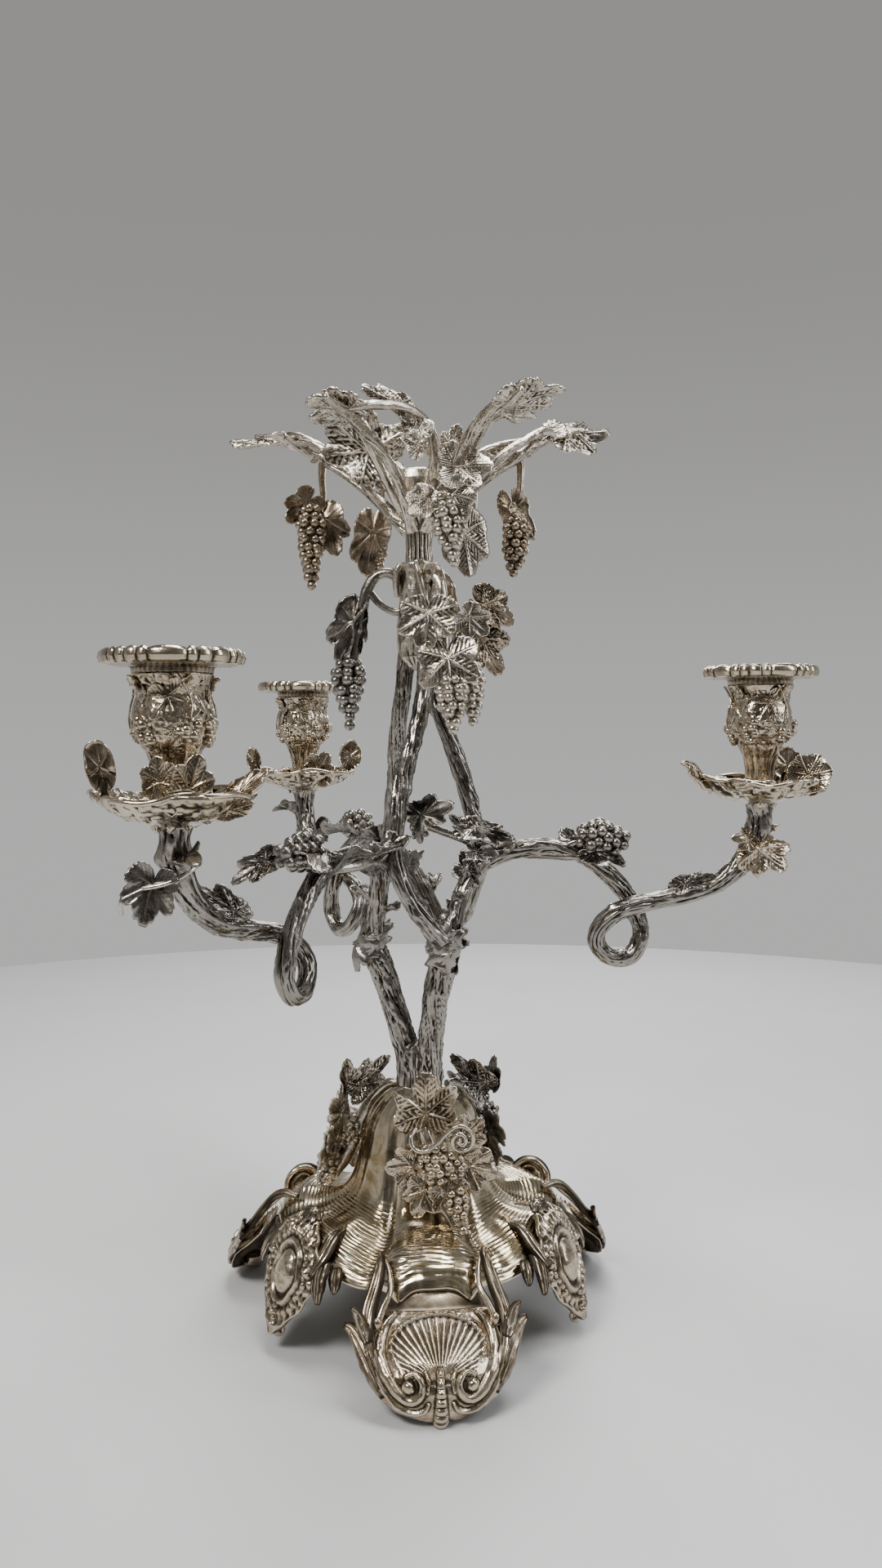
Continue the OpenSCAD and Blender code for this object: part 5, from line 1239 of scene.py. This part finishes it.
def build_pan(az, key, seed):
    c = pol(186, az, 0)
    G = 346.1
    beads = []
    a, k = 0.0, 0
    pat = [13, 8, 26, 10, 9, 14, 8, 30, 9, 12, 20, 8]
    while a < 352:
        w = pat[k % len(pat)] * (1.0 + 0.1 * math.sin(k * 2.3 + seed))
        beads.append((a + w / 2, w / 2))
        a += w
        k += 1
    sc = 360.0 / a
    beads = [(x * sc, y * sc) for x, y in beads]
    def rel(S, TH, R, Z):
        deg = (np.degrees(TH) % 360)
        best = np.zeros_like(deg)
        for bc, bw in beads:
            d = np.abs((deg - bc + 180) % 360 - 180) / (bw * 1.02)
            best = np.maximum(best, np.sqrt(np.clip(1 - np.clip(d, 0, 1) ** 2.4, 0, 1)))
        rim = sstep(25.5, 28.5, R)
        under = sstep(0.5, 2.0, S)
        fl = 0.10 * np.cos(TH * 40) * sstep(18.5, 17.0, R) * sstep(15.5, 16.5, R)
        soft = 0.12 * fbm(np.stack([R * np.cos(TH) / 9, R * np.sin(TH) / 9, Z / 9], -1), seed, 2)
        return rim * (1.9 * best - 1.15) + fl + soft * under
    prof = [[11.3, G - 21.5], [12.1, G - 21.5], [12.1, G + 0.2], [17.2, G + 0.2], [17.3, G + 2.4], [18.5, G + 3.0], [24.0, G + 3.6], [27.3, G + 4.0], [29.4, G + 4.6], [30.1, G + 6.6], [29.6, G + 8.6], [28.2, G + 9.6],
            [26.6, G + 9.2], [25.2, G + 7.6], [20, G + 5.9], [15.0, G + 5.0], [12.6, G + 5.3], [11.3, G + 4.6]]
    g = lathe(prof, 240, 0.6, rel)
    M = np.eye(4)
    M[:3, 3] = c
    make("pan_rim_" + key, Geo().merge(g, M), M_CHAMP, "drip_pan_" + key, ("drip_pan_" + key,))

def build_saucer(az, key, ears, seed):
    c = np.array(pol(186, az, 0))
    g = Geo()
    rs = np.random.RandomState(seed)
    def rel(S, TH, R, Z):
        w = np.stack([R * np.cos(TH) / 6, R * np.sin(TH) / 6, Z / 8], -1)
        lob = 0.5 + 0.5 * np.cos(5 * TH + seed)
        return sstep(12, 30, R) * (1.9 * fbm(w, seed, 3) + 1.3 * np.abs(vnoise(w * 2.1, seed + 4)) + 0.8 * lob - 0.6)
    g.merge(lathe([[0.3, 281.2], [9.0, 281.4], [13, 282.6], [20, 285.0], [27, 288.4], [32.5, 292.6], [34.0, 294.6], [33.4, 295.4], [31, 294.4], [25, 290.8], [16, 287.2], [8, 286.2], [0.3, 286.2]], 150, 0.8, rel))
    # leaves fused under the dish, veins facing down and out
    n = 7
    for i in range(n):
        a = seed * 13 + i * 360 / n + rs.uniform(-8, 8)
        o = np.array([math.cos(math.radians(a)), math.sin(math.radians(a)), 0])
        p = o * 9 + np.array([0, 0, 283.4])
        g.merge(leaf(rs.uniform(25, 29), seed + i, 1.08, cup=-0.12, droop=0.20, wave=0.12, thick=2.2, style="rib" if i % 2 else "grain", dark_under=0.1, rel=1.8, na=138, nr=16), aim(p, o + np.array([0, 0, 0.30]), o * 0.45 - np.array([0, 0, 1])))
    # rolled bright edge between the leaves
    pts = []
    for k in range(33):
        a = math.radians(seed * 13 + k * 11.25)
        R = 33.6 + 1.7 * math.sin(5 * a + seed) + 0.8 * math.sin(11 * a)
        pts.append([R * math.cos(a), R * math.sin(a), 294.6 + 1.6 * math.sin(3 * a + seed) + 0.7 * math.sin(8 * a)])
    g.merge(wire(pts, 1.25, ds=1.2))
    # upturned tips, smooth inside and veined outside
    for j, (p, d, n, L, w, st, lb) in enumerate(ears):
        g.merge(leaf(L, seed + 40 + j, w, cup=0.10, droop=0.06, wave=0.05, thick=2.4, style=st, dark_under=0.0, lobes=lb, rel=1.1, rim=0.03 if st == "smooth" else 0.0, na=144, nr=18), aim(p, d, n))
        r = math.hypot(p[0], p[1])
        if r > 24:
            o = np.array([p[0] / r, p[1] / r, 0])
            g.merge(frond([list(o * 14 + [0, 0, 285]), list(o * 22 + [0, 0, 287.5]), list(o * (r - 2) + [0, 0, 291.5]), [p[0], p[1], p[2] + 1.0]], lambda t: 5.6 + 1.6 * math.sin(3 * t), [-0.2 * o[0], -0.2 * o[1], 1], 3.0, 2, -0.08, nu=19, depth=0.7, seed=seed + j))
    M = np.eye(4)
    M[:3, 3] = c
    make("saucer_leaves_" + key, Geo().merge(g, M), M_CHAMP, "stand", ("saucer_" + key,))

build_stem()
build_collar()
build_drops()
EARS = {"right": [([-30, -6, 292], [-1, -0.1, 0.95], [0.7, -0.6, 0.7], 27, 0.34, "smooth", 0.4), ([20, 14, 297], [0.1, 0, 1], [0.1, -1, 0], 22, 1.0, "smooth", 0.35), ([16, -21, 292.5], [0.50, 0.0, 0.87], [-0.32, -0.90, 0.28], 25, 1.05, "rib", 0.35),
                  ([23.5, -5, 288.5], [1, 0.1, 0.35], [-0.3, -0.7, 0.7], 19, 0.6, "grain", 0.6)],
        "front_left": [([-29, -6, 301], [-0.12, 0, 1], [0.0, -0.97, 0.22], 26, 0.60, "smooth", 0.1), ([-3, -17.5, 296], [-0.12, 0, 1], [-0.2, -1, 0.1], 20, 0.85, "vein", 0.6), ([7, -18.5, 292], [0.3, 0, 1], [0.25, -1, 0.1], 25, 0.85, "vein", 0.7),
                       ([22, -4, 292], [1, 0, 0.76], [-0.40, -0.8, 0.5], 30, 0.46, "smooth", 0.2), ([19, -12, 288], [1, 0, 0.22], [-0.2, -0.9, -0.2], 20, 0.5, "vein", 0.6)],
        "back_left": [([-33, -2, 298], [-0.25, 0, 1], [0.2, -1, 0], 20, 0.62, "smooth", 0.15), ([31, 0, 299], [0.18, 0, 1], [-0.1, -1, 0], 25, 0.80, "smooth", 0.15), ([8, -21, 289.5], [0.4, -0.2, 0.8], [0, -0.9, 0.5], 24, 1.0, "vein", 0.8)]}
for az, key, sd in ((-8, "right", 200), (232, "front_left", 220), (112, "back_left", 240)):
    build_arm(az, key, sd)
    build_socket(az, key, sd + 3)
    build_pan(az, key, sd % 7)
    build_saucer(az, key, EARS[key], sd // 20)

# ---------------------------------------------------------------- bowl frame
G2 = 414.1
BR = {1: (156, -1), 2: (108, 0), 3: (52, 0), 4: (14, 2), 5: (-64, -8), 6: (-120, -12)}

def branch_route(L):
    return [[6, 0, 432, 4.4], [14, 0.5, 440, 3.7], [26, 1.5, 452, 3.1], [42, 0.5, 465, 3.0], [60, -1.2, 477 + 0.3 * L, 3.3], [74, 0, 486 + 0.7 * L, 3.7], [88, 0.5, 490 + L, 2.9], [100, 0, 492.5 + L, 1.6]]

def build_hub():
    def rel(S, TH, R, Z):
        f = np.stack([np.cos(TH) * 3.0, np.sin(TH) * 3.0, Z / 22.0], -1)
        n1 = 1 - 1.9 * np.abs(vnoise(f, 190))
        fl = np.abs(np.cos(TH * 9 + 0.4 * np.sin(Z / 6)))
        return (0.45 * n1 + 0.75 * fl - 0.55) * sstep(G2 + 0.2, G2 + 2.0, Z) * sstep(446, 440, Z) + 0.3 * vnoise(f * 3, 191) * sstep(G2, G2 + 2, Z)
    g = lathe([[0.3, G2 - 24], [5.7, G2 - 24], [5.7, G2], [7.6, G2], [7.4, G2 + 3], [6.9, G2 + 8], [7.1, G2 + 16], [8.8, G2 + 22], [11.2, G2 + 28], [11.6, G2 + 31], [0.3, G2 + 31]], 96, 0.7, rel)
    make("hub_flutes", g, M_BRIGHT, "bowl_frame", ("basket_hub",))
    def rel2(S, TH, R, Z):
        w = np.stack([R * np.cos(TH) / 5, R * np.sin(TH) / 5, Z / 5], -1)
        deg = (np.degrees(TH) + 360) % 360
        smooth = np.exp(-(((deg - 228 + 180) % 360 - 180) / 46) ** 4)
        return (0.5 * fbm(w, 192, 3) + 0.4 * np.abs(np.cos(TH * 8 + Z / 5))) * (1 - smooth) * sstep(10, 11.5, R)
    g = lathe([[9.2, 445.3], [11.4, 445.2], [13.2, 448], [14.3, 453], [14.4, 459], [13.6, 463.0], [12.6, 464.0], [10.4, 463.8], [9.3, 462.6], [9.2, 450.3], [0.3, 450.2], [0.3, 445.3]], 110, 0.6, rel2)
    # leaves clasping the cup
    for a, z, d, L, st, sd in ((-40, 452, (0, 1, 0.6), 17, "vein", 1), (0, 456, (0, 0.5, 0.9), 16, "vein", 2), (45, 454, (0, -0.6, 0.8), 17, "vein", 3), (90, 456, (0, 0.3, 1), 16, "grain", 4), (140, 455, (0, -0.3, 1), 17, "grain", 5)):
        M = rotz(a)
        g.merge(leaf(L, 300 + sd, 1.05, cup=-0.25, droop=0.2, wave=0.08, thick=1.3, style=st, na=108, nr=12), M @ aim([13.2, 0, z - 4], d, [1, 0, 0.25]))
    make("cup_leaves", g, M_BRIGHT, "bowl_frame", ("basket_cup",))

def build_branches():
    for i, (az, L) in BR.items():
        rs = np.random.RandomState(400 + i)
        kn = [(rs.uniform(0.08, 0.8), rs.uniform(-3, 3), rs.uniform(1.6, 2.4), rs.uniform(0.6, 1.1)) for _ in range(6)]
        g = bark(branch_route(L), 400 + i, ds=0.85, nth=44, amp=0.62, k=2.0, L=16, twist=0.03, knots=kn, flat=0.04)
        # second strand running alongside the first
        s = 1 if i % 2 else -1
        g.merge(bark([[16, 3.0 * s, 440, 1.9], [28, 6.6 * s, 456.0, 2.3], [42, 8.4 * s, 471, 2.4], [58, 7.2 * s, 482 + 0.3 * L, 2.6], [72, 3.4 * s, 489.5 + 0.7 * L, 2.6], [82, 0.6 * s, 491 + 0.9 * L, 1.9]], 420 + i, ds=0.85, nth=30, amp=0.50, k=1.7, L=14))
        # ragged granulated tip leaf with a smaller one behind it
        tip = {1: (41, 0.55), 2: (37, 0.80), 3: (38, 0.70), 4: (41, 0.72), 5: (38, 0.72), 6: (31, 0.74)}[i]
        td, tn = {1: ([1, 0.0, 0.02], [-0.25, 0.55, 0.8]), 2: ([1, -0.3, 0.1], [-0.3, 0.3, 1]), 3: ([1, 0.3, 0.1], [-0.3, -0.3, 1]), 4: ([1, 0.0, 0.06], [-0.25, -0.85, 0.55]),
                  5: ([0.75, 0.65, 0.22], [-0.45, -0.1, 1]), 6: ([0.55, -0.85, 0.12], [-0.45, 0.1, 1])}[i]
        g.merge(leaf(tip[0] * 0.96, 440 + i, tip[1], cup=-0.04, droop=0.04, wave=0.07, thick=1.9, style="grain", na=168, nr=19, dark_under=0.0, rel=1.0, jag=1.45), aim([76, 7, 492 + L] if i == 6 else [80, 0, 490 + L], td, tn))
        g.merge(leaf(24, 450 + i, 0.75, cup=0.10, droop=0.12, wave=0.10, thick=1.6, style="grain", na=120, nr=14, dark_under=0.0, rel=1.0, jag=1.4), aim([70, 2.0 * s, 486 + 0.8 * L], [0.55, 1.0 * s, 0.12], [-0.4, 0, 1]))
        make("branch_bark_%d" % i, Geo().merge(g, rotz(az)), M_BRIGHT, "bowl_frame", ("branch_%d" % i,))
    # linking vines with their inner leaves
    g = Geo()
    for m in (-92, 28, 132):
        if m == -92:
            rows = [(10, -68, 444, 2.8), (20, -72, 461, 2.8), (32, -80, 473, 2.7), (47, -92, 481.5, 2.6), (60, -104, 484, 2.5), (74, -114, 481.5, 2.4), (86, -121, 478, 2.0)]
        else:
            rows = [(10, m + 24, 444, 2.8), (20, m + 22, 459, 2.8), (32, m + 16, 471, 2.7), (48, m + 9, 482, 2.6), (62, m + 2, 487.5, 2.5), (76, m - 9, 489, 2.3), (88, m - 20, 489, 1.9)]
        g.merge(bark(to_xyz(rows), 470 + m, ds=0.85, nth=30, amp=0.5, k=1.6, L=13))
        for k, (r, da, z, d, n, L, st) in enumerate(((26, 26, 458, (0.55, 0.35, 1), (-1, 0.2, 0.6), 31, "grain"), (56, 6, 482, (0.3, -0.9, -0.15), (-0.4, 0, 1), 24, "grain"))):
            if m == -92:
                continue
            M = rotz(m + da)
            g.merge(leaf(L, 480 + m + k, 0.9, cup=0.06, droop=0.08, wave=0.08, thick=1.7, style=st, na=126, nr=15, dark_under=0.0, rel=1.0, jag=1.4), M @ aim([r, 0, z], d, n))
    kw = dict(cup=0.05, droop=0.06, wave=0.08, thick=1.7, style="grain", na=156, nr=19, dark_under=0.0, rel=1.0, jag=1.3)
    g.merge(leaf(45, 490, 0.84, **kw), aim([-19, -9, 466], [-0.80, -0.1, 0.62], [-0.05, -1, 0.1]))
    g.merge(leaf(23, 491, 0.62, **kw), aim([2.5, -51, 475.5], [-1, -0.1, 0.0], [0.05, -0.85, 0.45]))
    g.merge(leaf(31, 494, 0.46, **kw), aim([-7, -51, 483.5], [-0.88, -0.15, 0.42], [-0.2, -0.9, 0.45]))
    g.merge(leaf(22, 492, 0.85, **kw), aim([2, -14, 470], [-0.35, -0.1, 1], [0.1, -1, -0.1]))
    g.merge(leaf(21, 493, 0.85, **kw), aim([17, -16, 468], [0.15, -0.1, 1], [0.1, -1, -0.1]))
    make("link_vines", g, M_BRIGHT, "bowl_frame", ("basket_links",))

def build_hubspray():
    M = rotz(-70)
    g = bark([[9, 0, 444, 2.8], [18, 0, 453, 2.7], [26, 0, 456, 2.6], [32, 0, 452, 2.4], [34, 0, 442, 2.0]], 500, ds=0.8, nth=24, amp=0.4)
    g = Geo().merge(g, M)
    kw = dict(cup=0.05, droop=0.12, wave=0.05, thick=1.6, style="rib", na=156, nr=19, dark_under=0.2)
    for (p, d, n, L, w, sd) in (([10, -36, 459], [1, -0.05, 0.10], [-0.33, -0.90, 0.26], 30, 0.98, 501), ([6, -35, 446], [-0.8, -0.1, -0.62], [-0.37, -0.88, 0.22], 21, 0.95, 502),
                                ([12.5, -39, 450], [0.45, -0.1, -1], [-0.36, -0.88, 0.24], 25, 0.95, 503)):
        g.merge(leaf(L, sd, w, **kw), aim(p, d, n))
    g.merge(grapes([12, -34, 446], [0.12, 0.02, -1], 37, 9.6, 2.7, 505))
    M = np.eye(4)
    make("hub_leaves", g, M_BRIGHT, "bowl_frame", ("hub_spray",))

def build_hanging():
    for i, (az, r, z) in {1: (156, 58, 474), 2: (108, 58, 474), 3: (52, 58, 474), 4: (14, 60, 476)}.items():
        g = bark([[r - 3, 0, z + 3, 2.6], [r, 0, z - 2, 2.3], [r + 0.5, 0, z - 10, 2.0], [r, 0, z - 18, 1.8], [r, 0, z - 26, 1.4]], 520 + i, ds=0.8, nth=22, amp=0.3)
        for a in (0, 2.1, 4.2):
            g.merge(leaf(9, 530 + i, 0.7, cup=0.2, droop=0.2, wave=0.1, thick=1.1, style="grain", na=60, nr=8), aim([r - 1, 0, z + 1], [math.cos(a), math.sin(a), 0.1], [0, 0, 1]))
        W = Geo().merge(g, rotz(az))
        kw = dict(wave=0.06, thick=1.7, na=144, nr=17, dark_under=0.15)
        if i == 1:
            W.merge(leaf(25, 541, 0.80, cup=0.08, droop=0.10, style="smooth", rim=0.015, **kw), aim([-57, 20, 455], [-0.75, -0.1, -0.75], [0.25, -1, -0.1]))
            W.merge(leaf(31, 542, 0.78, cup=0.08, droop=0.10, style="smooth", rim=0.015, **kw), aim([-54.5, 21, 448.5], [0.35, -0.1, -1], [0.2, -1, 0.0]))
            b = ([-59.5, 17, 448], [0, 0, -1], 44, 8.2, 2.65)
        elif i == 2:
            W.merge(leaf(44, 543, 0.62, cup=-0.25, droop=0.05, style="smooth", lobes=0.5, **kw), aim([-23, 54, 450], [-0.12, 0.0, -1], [0.2, -1, 0.0]))
            b = ([-21, 62, 446], [0, 0, -1], 30, 6.5, 2.4)
        elif i == 3:
            W.merge(leaf(45, 544, 0.80, cup=0.06, droop=0.06, style="rib", lobes=0.55, **kw), aim([26.5, 38, 448], [0.16, 0.0, -1], [0.25, -1, 0.1]))
            b = ([35, 48, 446], [0, 0, -1], 30, 6.4, 2.5)
        else:
            W.merge(leaf(37, 545, 0.50, cup=-0.45, droop=0.10, style="smooth", rim=0.02, **kw), aim([52, 12, 455], [0.24, 0.0, -1], [-0.4, -1, 0.1]))
            W.merge(leaf(24, 546, 0.6, cup=-0.3, droop=0.2, style="grain", **kw), aim([57, 13, 450], [0.6, 0.0, -1], [0.8, -0.6, 0.2]))
            b = ([56.5, 12, 442], [-0.08, 0, -1], 34, 7.8, 2.65)
        g = W
        g.merge(grapes(*b, 550 + i, prof=[(0, 0.6), (0.2, 1.0), (0.55, 0.85), (0.85, 0.55), (1.0, 0.25)]))
        make("hanging_bunch_%d" % i, g, M_BROWN if i in (1, 2, 4) else M_BRIGHT, "bowl_frame", ("hanging_cluster_%d" % i,))

build_hub()
build_branches()
build_hubspray()
build_hanging()

# ---------------------------------------------------------------- wires and the CAD parts that stay
def build_wires():
    g = wire([[-6, -46, 114], [-9, -49, 111], [-8.5, -51, 106.5], [-5, -52.5, 104], [0, -53, 105], [5, -53.6, 109], [9, -54, 113.5], [13.5, -54.3, 116.8], [18, -54.6, 117], [22.2, -54.6, 113.5], [22.6, -54.4, 108.5], [20, -54, 105],
              [16, -54, 104.2], [12.6, -54, 106.4], [12.2, -54.4, 110], [14, -54.8, 112.8], [17, -55, 113], [19.0, -55, 110.6], [18.4, -55, 108.2], [16.4, -55.2, 107.6], [15.2, -55.4, 109.4], [16.4, -55.6, 110.6]], 1.12, ds=0.7, nth=14)
    g.merge(wire([[-105, -145, 265], [-108, -149, 262.5], [-113, -152, 259.5], [-119, -152.5, 257.2], [-126, -151.5, 255.8], [-132, -149, 254.6], [-136.5, -146, 251.8], [-138.2, -144, 247.5], [-138, -142.5, 243.5]], 1.2, ds=0.7, nth=14, taper=0.25))
    make("tendril_wires", g, M_WIRE, "stand", ("wire_tendrils",))
build_wires()

for node in ("tie_rod", "tie_washer", "tie_nut", "socket_screws"):
    ob = bpy.data.objects.get(node)
    if ob is not None:
        for s in ob.material_slots:
            s.material = M_STEEL
